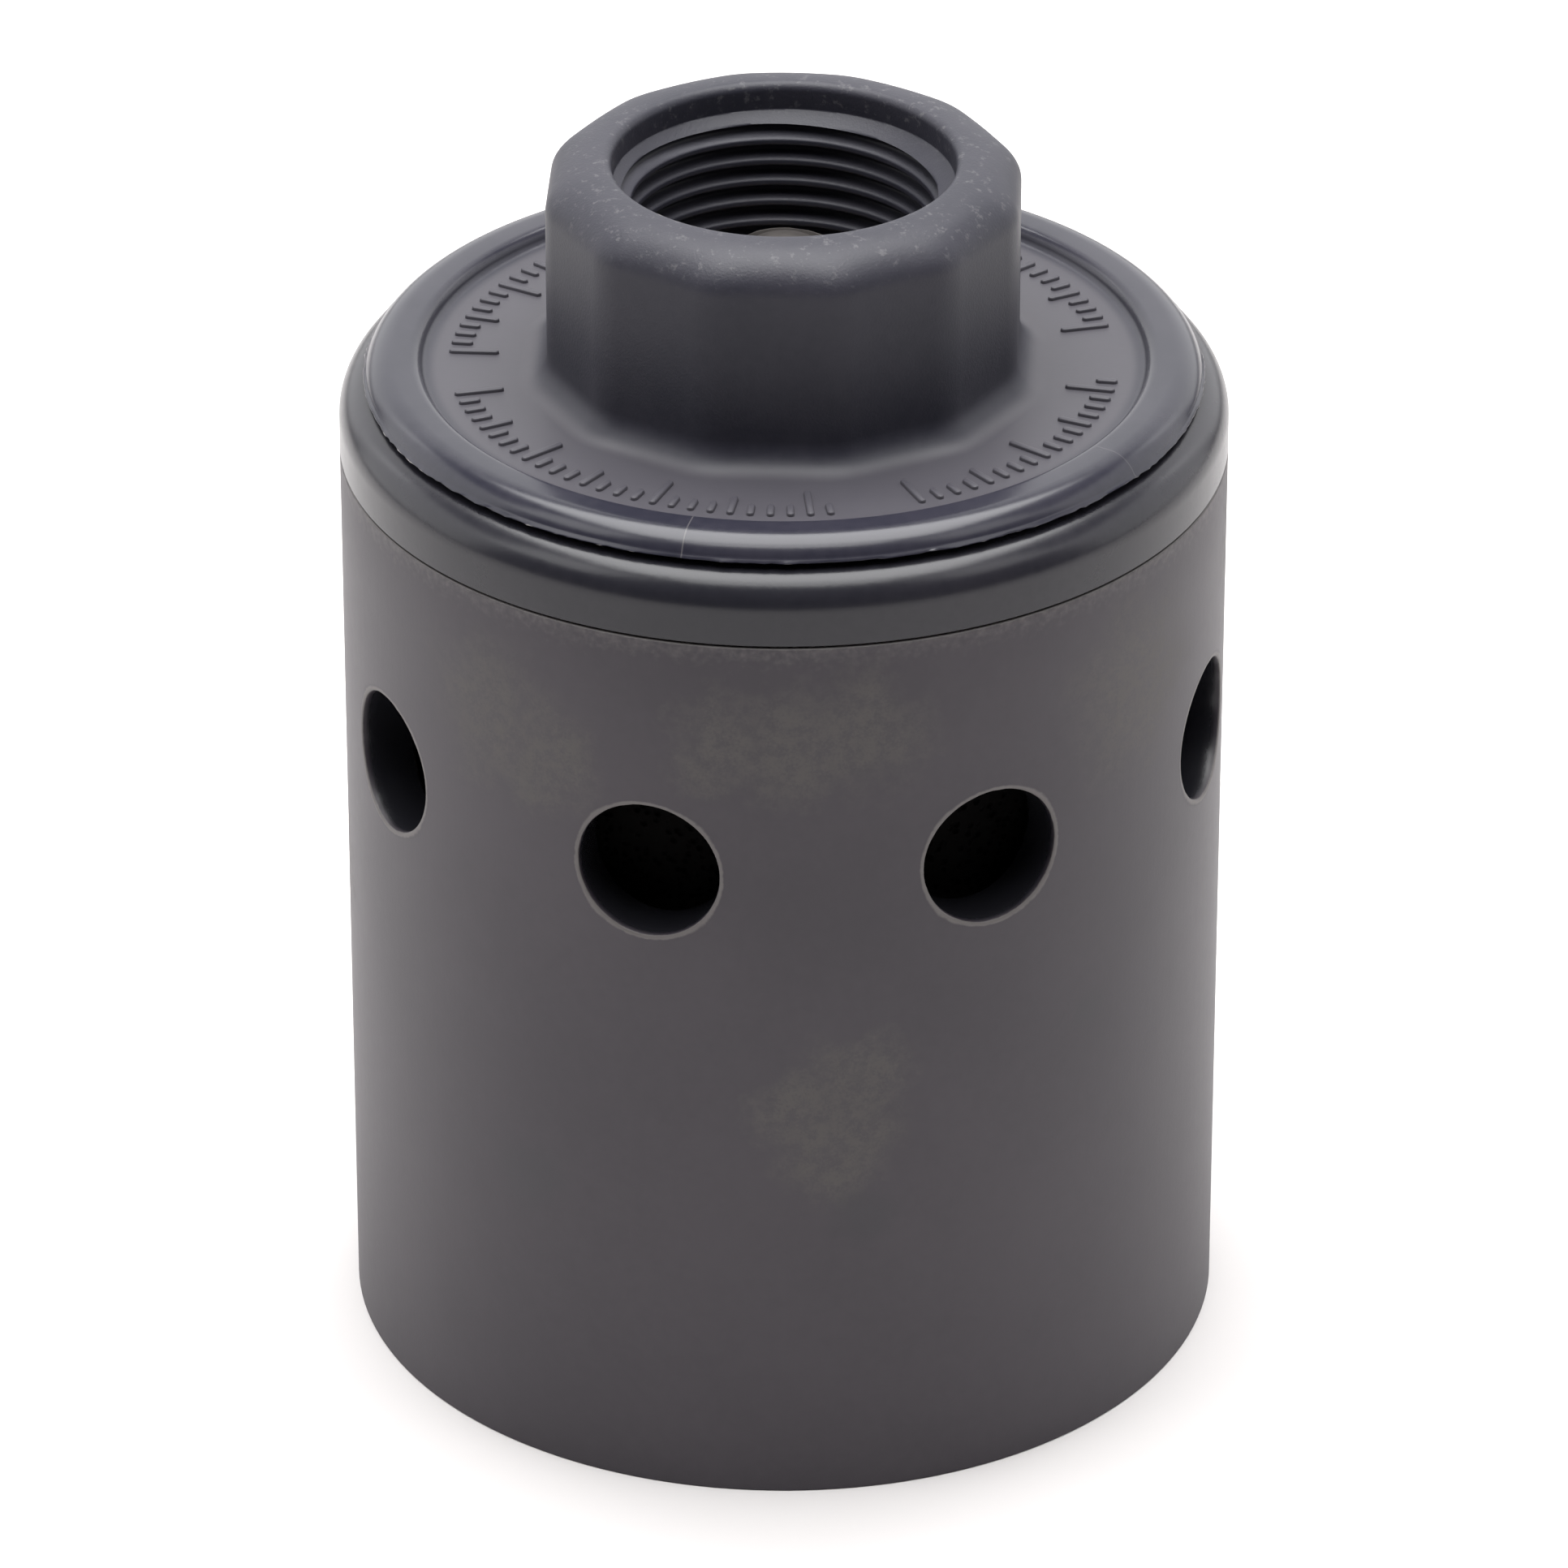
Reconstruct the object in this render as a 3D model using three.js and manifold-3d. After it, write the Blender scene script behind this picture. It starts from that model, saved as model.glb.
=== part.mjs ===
// One-way pneumatic exhaust muffler: a plastic pipe shell with a threaded cap, and inside it a
// spring-loaded poppet in a perforated cage, wrapped in foam. Millimetres, +Z up, the base at z = 0.
import * as THREE from "three";
import { mergeVertices } from "three/addons/utils/BufferGeometryUtils.js";
import Module from "manifold-3d";

const wasm = await Module();
wasm.setup();

// Driving dimensions. Radii and heights are from the axis and from the base.
const totalHeight = 127.7;
const shellSteps = 40; // facets round the outer pieces
const innerSteps = 28; // facets round the pieces inside
const finestSteps = 20; // facets round the stem and what sits on it
const touchGap = 0.3; // left between pieces that touch on the real object
const overshoot = 2; // how far a cutter runs past what it cuts
const overlap = 0.6; // how far two solids that make one piece run into each other

const pipe = { radius: 44.45, bore: 38.95, top: 96.4 };
const holes = { count: 8, radius: 7, height: 70.8, sides: 16 };
const collar = { bottom: 96.7, top: 103.9, shoulder: 3.7 };
const spigot = { radius: 38.6, bore: 34.6, bottom: 86 };
const flange = { under: 104.25, underEdge: 41.4, web: 101.5, face: 105.2, faceEdge: 35.2 };
const bead = { centre: 38.9, radius: 3.05, top: 106.65, startAngle: 18 };
const beadSlope = [[37.3, 106.5], [36.4, 105.95], [35.7, 105.3]]; // from the bead's top down to the face
const boss = { corner: 24.2, sides: 12, rounding: 3.4, fillet: 3 };
const mouth = { radius: 17.6, chamfer: 0.5, counterbore: 17.05, depth: 2.5, leadIn: 0.9 };
const thread = { major: 16.35, minor: 15.2, pitch: 2.209, turns: 7, taper: 1 / 32, flat: 0.35 };
const nozzle = { radius: 24, bottom: 94, throat: 12.7, pocket: 15, pocketTop: 101, throatTop: 106 };
const seat = { inner: 12.2, outer: 23.8, lip: 13.6, top: 93.7, bottom: 91.2, lipBottom: 90.9 };
const seatScrew = {
  count: 4,
  circle: 19.5,
  shank: 1.45,
  head: 2.8,
  headHeight: 1.9,
  chamfer: 0.6,
  length: 6.2,
  pilot: 5.5,
};
const spider = { hub: 6.4, bore: 4.5, bottom: 94.3, top: 102.3, arms: 3, armWidth: 2.2, armHeight: 5 };
const bush = { bore: 3.1, outer: 4.2, flange: 5.6, flangeHeight: 0.8 };
const stem = {
  radius: 3,
  bottom: 60,
  top: 116,
  chamfer: 0.8,
  shoulder: 4.4,
  shoulderLow: 92.7,
  shoulderHigh: 93.7,
};
const clampBore = 3.3; // bore of the pieces clamped on the stem
const poppet = {
  radius: 16,
  hub: 6,
  chamfer: 0.6,
  bottom: 82.7,
  plateLow: 85.2,
  plateHigh: 88.7,
  bevel: 1.3,
};
const seal = { radius: 15.4, bottom: 89, top: 90.6 };
const retainer = { radius: 10.8, bottom: 90.9, top: 92.4 };
const lockNut = { acrossFlats: 10, bottom: 79, top: 82.4 };
const stopWasher = { radius: 6, bottom: 111.2, top: 112.3 };
const domeNut = {
  acrossFlats: 10,
  bottom: 112.6,
  top: 117.5,
  domeFoot: 4.7,
  domeRadius: 6.6,
  apex: 119.35,
};
const spring = { mean: 8.5, wire: 0.8, bottom: 62.8, top: 84.9, turns: 5.5, stepsPerTurn: 12, sides: 6 };
const cage = { inner: 24.3, outer: 26, bottom: 46, top: 101.2 };
const cageHole = { radius: 2.4, perRow: 9, rows: 5, first: 56, pitch: 7.2, sides: 8 };
const cageScrew = {
  count: 3,
  shank: 1.2,
  head: 2.2,
  headHeight: 1.3,
  tip: 20.2,
  pilotTip: 19.4,
  high: 97.6,
  low: 48,
};
const guide = {
  plateTop: 50.4,
  tower: 7,
  towerFoot: 8.5,
  footHeight: 1.6,
  flange: 10.8,
  flangeLow: 60.5,
  top: 62.5,
  recess: 0.9,
};
const foam = { inner: 28.6, outer: 37.2, bottom: 12.6, top: 85.4 };
const pad = { bottom: 9.3, top: 12.3 };
const base = {
  radius: 38.5,
  bottom: 4.3,
  top: 9,
  chamfer: 0.6,
  groove: 36.6,
  grooveLow: 5.7,
  grooveHigh: 7.7,
};
const oRing = { mean: 37.75, section: 0.82, sides: 6 };
const snap = { inner: 36.2, outer: 40.3, bottom: 2.5, top: 3.9, groove: 40.6, halfOpening: 0.16 };

const darkPlastic = { color: 0x45454b, roughness: 0.5, metalness: 0 };
const whitePlastic = { color: 0xd8d6cf, roughness: 0.45, metalness: 0 };
const steel = { color: 0xb4b6b8, roughness: 0.3, metalness: 1 };
const brass = { color: 0xb08d4a, roughness: 0.35, metalness: 1 };
const blackRubber = { color: 0x18181a, roughness: 0.8, metalness: 0 };
const blackFoam = { color: 0x141415, roughness: 1, metalness: 0 };
const greyFelt = { color: 0x6d6a66, roughness: 1, metalness: 0 };

const group = new THREE.Group();

function addPiece(name, geometry, finish) {
  const mesh = new THREE.Mesh(geometry, new THREE.MeshStandardMaterial(finish));
  mesh.name = name;
  group.add(mesh);
  return mesh;
}

// Turns a profile of [radius, z] points about Z. A ring's profile runs anticlockwise and ends
// where it began.
function turned(profile, steps = innerSteps) {
  const points = profile.map(([radius, z]) => new THREE.Vector2(radius, z));
  if (profile[0][0] > 0) points.push(points[0].clone());
  return new THREE.LatheGeometry(points, steps).rotateX(Math.PI / 2);
}

function ring(inner, outer, bottom, top, steps) {
  return turned([[inner, bottom], [outer, bottom], [outer, top], [inner, top]], steps);
}

function disc(radius, bottom, top, steps) {
  return turned([[0, bottom], [radius, bottom], [radius, top], [0, top]], steps);
}

// Profile points on a round corner, from one angle to another in degrees.
function arc(centreRadius, centreZ, radius, from, to, steps) {
  return Array.from({ length: steps + 1 }, (_, i) => {
    const angle = THREE.MathUtils.degToRad(from + ((to - from) * i) / steps);
    return [centreRadius + radius * Math.cos(angle), centreZ + radius * Math.sin(angle)];
  });
}

function solid(geometry) {
  const bare = geometry.clone();
  bare.deleteAttribute("normal");
  bare.deleteAttribute("uv");
  const merged = mergeVertices(bare, 1e-4);
  const index = merged.index.array;
  const kept = [];
  for (let i = 0; i < index.length; i += 3) {
    const [a, b, c] = [index[i], index[i + 1], index[i + 2]];
    if (a !== b && b !== c && c !== a) kept.push(a, b, c);
  }
  const vertProperties = new Float32Array(merged.attributes.position.array);
  const triVerts = new Uint32Array(kept);
  return new wasm.Manifold(new wasm.Mesh({ numProp: 3, vertProperties, triVerts }));
}

function geometryOf(body) {
  const mesh = body.getMesh();
  const geometry = new THREE.BufferGeometry();
  geometry.setAttribute("position", new THREE.BufferAttribute(new Float32Array(mesh.vertProperties), 3));
  geometry.setIndex(new THREE.BufferAttribute(new Uint32Array(mesh.triVerts), 1));
  return geometry;
}

function join(geometries) {
  const [first, ...others] = geometries.map(solid);
  return geometryOf(others.reduce((whole, part) => whole.add(part), first));
}

function cut(geometry, cutters) {
  return geometryOf(cutters.reduce((left, cutter) => left.subtract(solid(cutter)), solid(geometry)));
}

const turnFraction = (count, i) => (i * 2 * Math.PI) / count;

// Copies of a shape at equal steps round Z.
function aroundAxis(count, start, makeShape) {
  return Array.from({ length: count }, (_, i) => makeShape().rotateZ(start + turnFraction(count, i)));
}

// A rod that lies along +X between two radii.
function radialRod(radius, from, to, height, sides) {
  return new THREE.CylinderGeometry(radius, radius, to - from, sides)
    .rotateZ(Math.PI / 2)
    .translate((from + to) / 2, 0, height);
}

function hexagon(acrossFlats, bottom, top) {
  return disc(acrossFlats / Math.sqrt(3), bottom, top, 6);
}

// Outer shell
function bodyTube() {
  const shell = turned([
    [pipe.bore, 0],
    [pipe.radius, 0],
    [pipe.radius, pipe.top],
    [pipe.bore, pipe.top],
    [pipe.bore, snap.top + touchGap],
    [snap.groove, snap.top + touchGap],
    [snap.groove, snap.bottom - touchGap],
    [pipe.bore, snap.bottom - touchGap],
  ], shellSteps);
  const [from, to] = [pipe.bore - overshoot, pipe.radius + overshoot];
  const drill = () => radialRod(holes.radius, from, to, holes.height, holes.sides);
  return cut(shell, aroundAxis(holes.count, 0, drill));
}

function collarRing() {
  return turned([
    [pipe.bore, collar.bottom],
    [pipe.radius, collar.bottom],
    ...arc(pipe.radius - collar.shoulder, collar.top - collar.shoulder, collar.shoulder, 0, 90, 6),
    [pipe.bore, collar.top],
  ], shellSteps);
}

// The space inside the port, from the spider's pocket up through throat, taper thread and mouth.
function portCutter() {
  const bottom = nozzle.bottom - overshoot;
  const counterboreEnd = totalHeight - mouth.depth;
  const threadTop = counterboreEnd - mouth.leadIn;
  const flank = (thread.pitch - 2 * thread.flat) / 2;
  const profile = [
    [0, bottom],
    [nozzle.pocket, bottom],
    [nozzle.pocket, nozzle.pocketTop],
    [nozzle.throat, nozzle.pocketTop],
    [nozzle.throat, nozzle.throatTop],
  ];
  for (let turn = thread.turns; turn > 0; turn -= 1) {
    const low = threadTop - turn * thread.pitch;
    const narrowing = turn * thread.pitch * thread.taper;
    const [crest, root] = [thread.minor - narrowing, thread.major - narrowing];
    profile.push([crest, low], [crest, low + thread.flat]);
    profile.push([root, low + thread.flat + flank], [root, low + 2 * thread.flat + flank]);
  }
  profile.push(
    [thread.minor, threadTop],
    [mouth.counterbore, counterboreEnd],
    [mouth.counterbore, totalHeight - mouth.chamfer],
    [mouth.radius, totalHeight],
    [mouth.radius, totalHeight + overshoot],
    [0, totalHeight + overshoot],
  );
  return turned(profile);
}

function inletCap() {
  const cover = turned([
    [0, nozzle.bottom],
    [nozzle.radius, nozzle.bottom],
    [nozzle.radius, flange.web],
    [spigot.bore, flange.web],
    [spigot.bore, spigot.bottom],
    [spigot.radius, spigot.bottom],
    [spigot.radius, flange.under],
    [flange.underEdge, flange.under],
    ...arc(bead.centre, bead.top - bead.radius, bead.radius, bead.startAngle, 90, 5),
    ...beadSlope,
    [flange.faceEdge, flange.face],
    [0, flange.face],
  ], shellSteps);
  const block = turned([
    [0, flange.face - overlap],
    [boss.corner + boss.fillet, flange.face - overlap],
    ...arc(boss.corner + boss.fillet, flange.face + boss.fillet, boss.fillet, 270, 180, 3),
    ...arc(boss.corner - boss.rounding, totalHeight - boss.rounding, boss.rounding, 0, 90, 5),
    [0, totalHeight],
  ], boss.sides);
  const [pilotLow, pilotHigh] = [nozzle.bottom - overshoot, nozzle.bottom + seatScrew.pilot];
  const pilot = () =>
    disc(seatScrew.shank + touchGap, pilotLow, pilotHigh, 8).translate(seatScrew.circle, 0, 0);
  const [sideRadius, sideEnd] = [cageScrew.shank + touchGap, nozzle.radius + overshoot];
  const sidePilot = () => radialRod(sideRadius, cageScrew.pilotTip, sideEnd, cageScrew.high, 8);
  return cut(join([cover, block]), [
    portCutter(),
    ...aroundAxis(seatScrew.count, Math.PI / 4, pilot),
    ...aroundAxis(cageScrew.count, 0, sidePilot),
  ]);
}

// Valve seat and stem guides
function seatRing() {
  const plate = turned([
    [seat.inner, seat.lipBottom],
    [seat.lip, seat.lipBottom],
    [seat.lip + touchGap, seat.bottom],
    [seat.outer, seat.bottom],
    [seat.outer, seat.top],
    [seat.inner, seat.top],
  ]);
  const [low, high] = [seat.bottom - overshoot, seat.top + overshoot];
  const clearance = () =>
    disc(seatScrew.shank + touchGap, low, high, 8).translate(seatScrew.circle, 0, 0);
  return cut(plate, aroundAxis(seatScrew.count, Math.PI / 4, clearance));
}

function seatScrewShape() {
  const headTop = seat.bottom - touchGap;
  const headLow = headTop - seatScrew.headHeight;
  return turned([
    [0, headLow],
    [seatScrew.head - seatScrew.chamfer, headLow],
    [seatScrew.head, headLow + seatScrew.chamfer],
    [seatScrew.head, headTop],
    [seatScrew.shank, headTop],
    [seatScrew.shank, headTop + seatScrew.length],
    [0, headTop + seatScrew.length + seatScrew.chamfer],
  ], 12).translate(seatScrew.circle, 0, 0);
}

function guideSpider() {
  const outer = nozzle.pocket - touchGap;
  const rim = ring(nozzle.throat, outer, spider.bottom, nozzle.pocketTop - touchGap);
  const middle = ring(spider.bore, spider.hub, spider.bottom, spider.top, finestSteps);
  const [armStart, armEnd] = [spider.hub - overlap, nozzle.throat + overlap];
  const arm = () =>
    new THREE.BoxGeometry(armEnd - armStart, spider.armWidth, spider.armHeight)
      .translate((armStart + armEnd) / 2, 0, spider.bottom + spider.armHeight / 2);
  return join([rim, middle, ...aroundAxis(spider.arms, Math.PI / 2, arm)]);
}

function stemBush(bottom, housingTop) {
  const flangeLow = housingTop + touchGap;
  const top = flangeLow + bush.flangeHeight;
  return turned([
    [bush.bore, bottom],
    [bush.outer, bottom],
    [bush.outer, flangeLow],
    [bush.flange, flangeLow],
    [bush.flange, top],
    [bush.bore, top],
  ], finestSteps);
}

// Moving poppet
function poppetStem() {
  return turned([
    [0, stem.bottom],
    [stem.radius - stem.chamfer, stem.bottom],
    [stem.radius, stem.bottom + stem.chamfer],
    [stem.radius, stem.shoulderLow],
    [stem.shoulder, stem.shoulderLow],
    [stem.shoulder, stem.shoulderHigh],
    [stem.radius, stem.shoulderHigh],
    [stem.radius, stem.top],
    [0, stem.top],
  ], finestSteps);
}

function poppetDisc() {
  return turned([
    [clampBore, poppet.bottom],
    [poppet.hub - poppet.chamfer, poppet.bottom],
    [poppet.hub, poppet.bottom + poppet.chamfer],
    [poppet.hub, poppet.plateLow],
    [poppet.radius - poppet.bevel, poppet.plateLow],
    [poppet.radius, poppet.plateLow + poppet.bevel],
    [poppet.radius, poppet.plateHigh],
    [clampBore, poppet.plateHigh],
  ]);
}

function stemLockNut() {
  const hole = disc(clampBore, lockNut.bottom - overshoot, lockNut.top + overshoot, finestSteps);
  return cut(hexagon(lockNut.acrossFlats, lockNut.bottom, lockNut.top), [hole]);
}

function stemDomeNut() {
  const wrenchPart = hexagon(domeNut.acrossFlats, domeNut.bottom, domeNut.top);
  const domeCentre = domeNut.apex - domeNut.domeRadius;
  const footAngle = THREE.MathUtils.radToDeg(Math.acos(domeNut.domeFoot / domeNut.domeRadius));
  const dome = turned([
    [0, domeNut.top - overlap],
    [domeNut.domeFoot, domeNut.top - overlap],
    ...arc(0, domeCentre, domeNut.domeRadius, footAngle, 90, 4),
  ], finestSteps);
  const hole = disc(clampBore, domeNut.bottom - overshoot, stem.top + touchGap, finestSteps);
  return cut(join([wrenchPart, dome]), [hole]);
}

class Helix extends THREE.Curve {
  getPoint(t, target = new THREE.Vector3()) {
    const angle = t * spring.turns * 2 * Math.PI;
    const z = THREE.MathUtils.lerp(spring.bottom + spring.wire, spring.top - spring.wire, t);
    return target.set(spring.mean * Math.cos(angle), spring.mean * Math.sin(angle), z);
  }
}

function returnSpring() {
  const corners = Array.from({ length: spring.sides }, (_, i) => {
    const angle = turnFraction(spring.sides, i);
    return new THREE.Vector2(spring.wire * Math.cos(angle), spring.wire * Math.sin(angle));
  });
  const steps = spring.turns * spring.stepsPerTurn;
  const options = { steps, bevelEnabled: false, extrudePath: new Helix() };
  return new THREE.ExtrudeGeometry(new THREE.Shape(corners), options);
}

// Perforated cage round the poppet
function diffuserTube() {
  const drills = [];
  const [from, to] = [cage.inner - overshoot, cage.outer + overshoot];
  for (let row = 0; row < cageHole.rows; row += 1) {
    const height = cageHole.first + row * cageHole.pitch;
    const start = turnFraction(cageHole.perRow, (row % 2) / 2);
    const drill = () => radialRod(cageHole.radius, from, to, height, cageHole.sides);
    drills.push(...aroundAxis(cageHole.perRow, start, drill));
  }
  for (const height of [cageScrew.high, cageScrew.low]) {
    const drill = () => radialRod(cageScrew.shank + touchGap, from, to, height, 8);
    drills.push(...aroundAxis(cageScrew.count, 0, drill));
  }
  return cut(ring(cage.inner, cage.outer, cage.bottom, cage.top), drills);
}

function lowerGuide() {
  const plate = cage.inner - touchGap;
  const body = turned([
    [spider.bore, cage.bottom],
    [plate, cage.bottom],
    [plate, guide.plateTop],
    [guide.towerFoot, guide.plateTop],
    [guide.tower, guide.plateTop + guide.footHeight],
    [guide.tower, guide.flangeLow],
    [guide.flange, guide.flangeLow],
    [guide.flange, guide.top],
    [guide.tower, guide.top],
    [guide.tower, guide.top - guide.recess],
    [spider.bore, guide.top - guide.recess],
  ]);
  const [drillRadius, drillEnd] = [cageScrew.shank + touchGap, cage.outer + overshoot];
  const drill = () => radialRod(drillRadius, cageScrew.pilotTip, drillEnd, cageScrew.low, 8);
  return cut(body, aroundAxis(cageScrew.count, 0, drill));
}

function cageScrewShape(height) {
  const headStart = cage.outer + touchGap;
  const shank = radialRod(cageScrew.shank, cageScrew.tip, headStart + overlap, height, 8);
  const head = radialRod(cageScrew.head, headStart, headStart + cageScrew.headHeight, height, 10);
  return join([shank, head]);
}

// Closed end
function basePlate() {
  return turned([
    [0, base.bottom],
    [base.radius - base.chamfer, base.bottom],
    [base.radius, base.bottom + base.chamfer],
    [base.radius, base.grooveLow],
    [base.groove, base.grooveLow],
    [base.groove, base.grooveHigh],
    [base.radius, base.grooveHigh],
    [base.radius, base.top],
    [0, base.top],
  ], shellSteps);
}

function baseSeal() {
  const middle = (base.grooveLow + base.grooveHigh) / 2;
  const lastAngle = 360 - 360 / oRing.sides;
  return turned(arc(oRing.mean, middle, oRing.section, 0, lastAngle, oRing.sides - 1), shellSteps);
}

function baseSnapRing() {
  const [from, to] = [snap.halfOpening - Math.PI / 2, 1.5 * Math.PI - snap.halfOpening];
  const shape = new THREE.Shape();
  shape.absarc(0, 0, snap.outer, from, to, false);
  shape.absarc(0, 0, snap.inner, to, from, true);
  const options = { depth: snap.top - snap.bottom, bevelEnabled: false, curveSegments: 20 };
  return new THREE.ExtrudeGeometry(shape, options).translate(0, 0, snap.bottom);
}

addPiece("body_tube", bodyTube(), darkPlastic);
addPiece("collar_ring", collarRing(), darkPlastic);
addPiece("inlet_cap", inletCap(), darkPlastic);

addPiece("guide_spider", guideSpider(), whitePlastic);
addPiece("guide_bush", stemBush(spider.bottom, spider.top), brass);
addPiece("seat_ring", seatRing(), brass);
aroundAxis(seatScrew.count, Math.PI / 4, seatScrewShape).forEach((shape, i) => {
  addPiece(`seat_screw_${i + 1}`, shape, steel);
});

addPiece("diffuser_tube", diffuserTube(), whitePlastic);
aroundAxis(cageScrew.count, 0, () => cageScrewShape(cageScrew.high)).forEach((shape, i) => {
  addPiece(`diffuser_screw_${i + 1}`, shape, steel);
});
addPiece("lower_guide", lowerGuide(), whitePlastic);
addPiece("lower_bush", stemBush(guide.plateTop, guide.top - guide.recess - touchGap), brass);
aroundAxis(cageScrew.count, 0, () => cageScrewShape(cageScrew.low)).forEach((shape, i) => {
  addPiece(`guide_screw_${i + 1}`, shape, steel);
});

addPiece("acoustic_sleeve", ring(foam.inner, foam.outer, foam.bottom, foam.top), blackFoam);
addPiece("acoustic_pad", disc(foam.outer, pad.bottom, pad.top), greyFelt);
addPiece("base_plate", basePlate(), darkPlastic);
addPiece("base_o_ring", baseSeal(), blackRubber);
addPiece("base_snap_ring", baseSnapRing(), steel);

addPiece("return_spring", returnSpring(), steel);
addPiece("poppet_stem", poppetStem(), steel);
addPiece("poppet_disc", poppetDisc(), whitePlastic);
addPiece("poppet_seal", ring(clampBore, seal.radius, seal.bottom, seal.top), blackRubber);
addPiece("seal_retainer", ring(clampBore, retainer.radius, retainer.bottom, retainer.top), steel);
addPiece("stem_lock_nut", stemLockNut(), steel);
const { radius: washerRadius, bottom: washerBottom, top: washerTop } = stopWasher;
addPiece("stem_stop_washer", ring(clampBore, washerRadius, washerBottom, washerTop, finestSteps), steel);
addPiece("stem_dome_nut", stemDomeNut(), steel);

export default group;
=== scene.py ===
import math

import bmesh
import bpy
import numpy as np
from mathutils import Matrix, Vector, noise


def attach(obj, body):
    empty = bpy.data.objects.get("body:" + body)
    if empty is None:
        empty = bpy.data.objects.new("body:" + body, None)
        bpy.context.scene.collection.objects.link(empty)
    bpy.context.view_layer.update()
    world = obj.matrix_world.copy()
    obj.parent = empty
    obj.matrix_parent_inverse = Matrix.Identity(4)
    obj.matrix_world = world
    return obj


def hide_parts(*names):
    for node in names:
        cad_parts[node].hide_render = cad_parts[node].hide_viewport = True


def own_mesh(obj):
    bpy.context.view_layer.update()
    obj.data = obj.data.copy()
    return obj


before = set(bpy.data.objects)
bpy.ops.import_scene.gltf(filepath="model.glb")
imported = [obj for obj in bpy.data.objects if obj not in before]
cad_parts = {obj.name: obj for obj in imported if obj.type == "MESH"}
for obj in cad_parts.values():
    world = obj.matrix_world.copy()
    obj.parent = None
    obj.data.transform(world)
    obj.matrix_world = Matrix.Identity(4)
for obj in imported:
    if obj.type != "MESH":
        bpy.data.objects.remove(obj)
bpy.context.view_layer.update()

mm = 0.001
full = 2 * math.pi
pipeRadius = 44.45
sharpAngle = 32  # edges steeper than this, in degrees, stay sharp


def linked(name, data):
    # a new object in the scene for a mesh, a lamp or a camera
    made = bpy.data.objects.new(name, data)
    bpy.context.scene.collection.objects.link(made)
    return made


def point(thing, spot, direction):
    # stands a camera or a lamp at a spot and looks along a direction
    thing.location = spot
    thing.rotation_mode = "QUATERNION"
    thing.rotation_quaternion = direction.to_track_quat("-Z", "Y")


# camera
view = {
    "turn": -72.4,  # where the camera stands round the axis, degrees from +X
    "elevation": 29.15,
    "distance": 1.064,
    "aimHeight": 0.0569,
    "lens": 239.55,
    "sensor": 36,
}


def addCamera():
    data = bpy.data.cameras.new("camera")
    data.lens = view["lens"]
    data.sensor_width = view["sensor"]
    data.clip_start = 0.05
    data.clip_end = 20
    turn, rise = math.radians(view["turn"]), math.radians(view["elevation"])
    out = Vector((math.cos(turn) * math.cos(rise), math.sin(turn) * math.cos(rise), math.sin(rise)))
    camera = linked("camera", data)
    point(camera, Vector((0, 0, view["aimHeight"])) + out * view["distance"], -out)
    bpy.context.scene.camera = camera


addCamera()
print("camera ready")


class Wire:
    # one value on its way through a material; sums on it add Math nodes
    def __init__(self, paint, socket):
        self.paint = paint
        self.socket = socket

    def maths(self, operation, first, second=0.0):
        return self.paint.add("ShaderNodeMath", {"operation": operation}, {0: first, 1: second})

    def __add__(self, other):
        return self.maths("ADD", self, other)

    def __sub__(self, other):
        return self.maths("SUBTRACT", self, other)

    def __rsub__(self, other):
        return self.maths("SUBTRACT", other, self)

    def __mul__(self, other):
        return self.maths("MULTIPLY", self, other)

    __radd__ = __add__
    __rmul__ = __mul__

    def higher(self, other):
        return self.maths("MAXIMUM", self, other)

    def size(self):
        return self.maths("ABSOLUTE", self)

    def step(self, low, high):
        # rises smoothly from 0 at low to 1 at high
        inputs = {"Value": self, "From Min": low, "From Max": high}
        return self.paint.add("ShaderNodeMapRange", {"interpolation_type": "SMOOTHSTEP"}, inputs)


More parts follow.
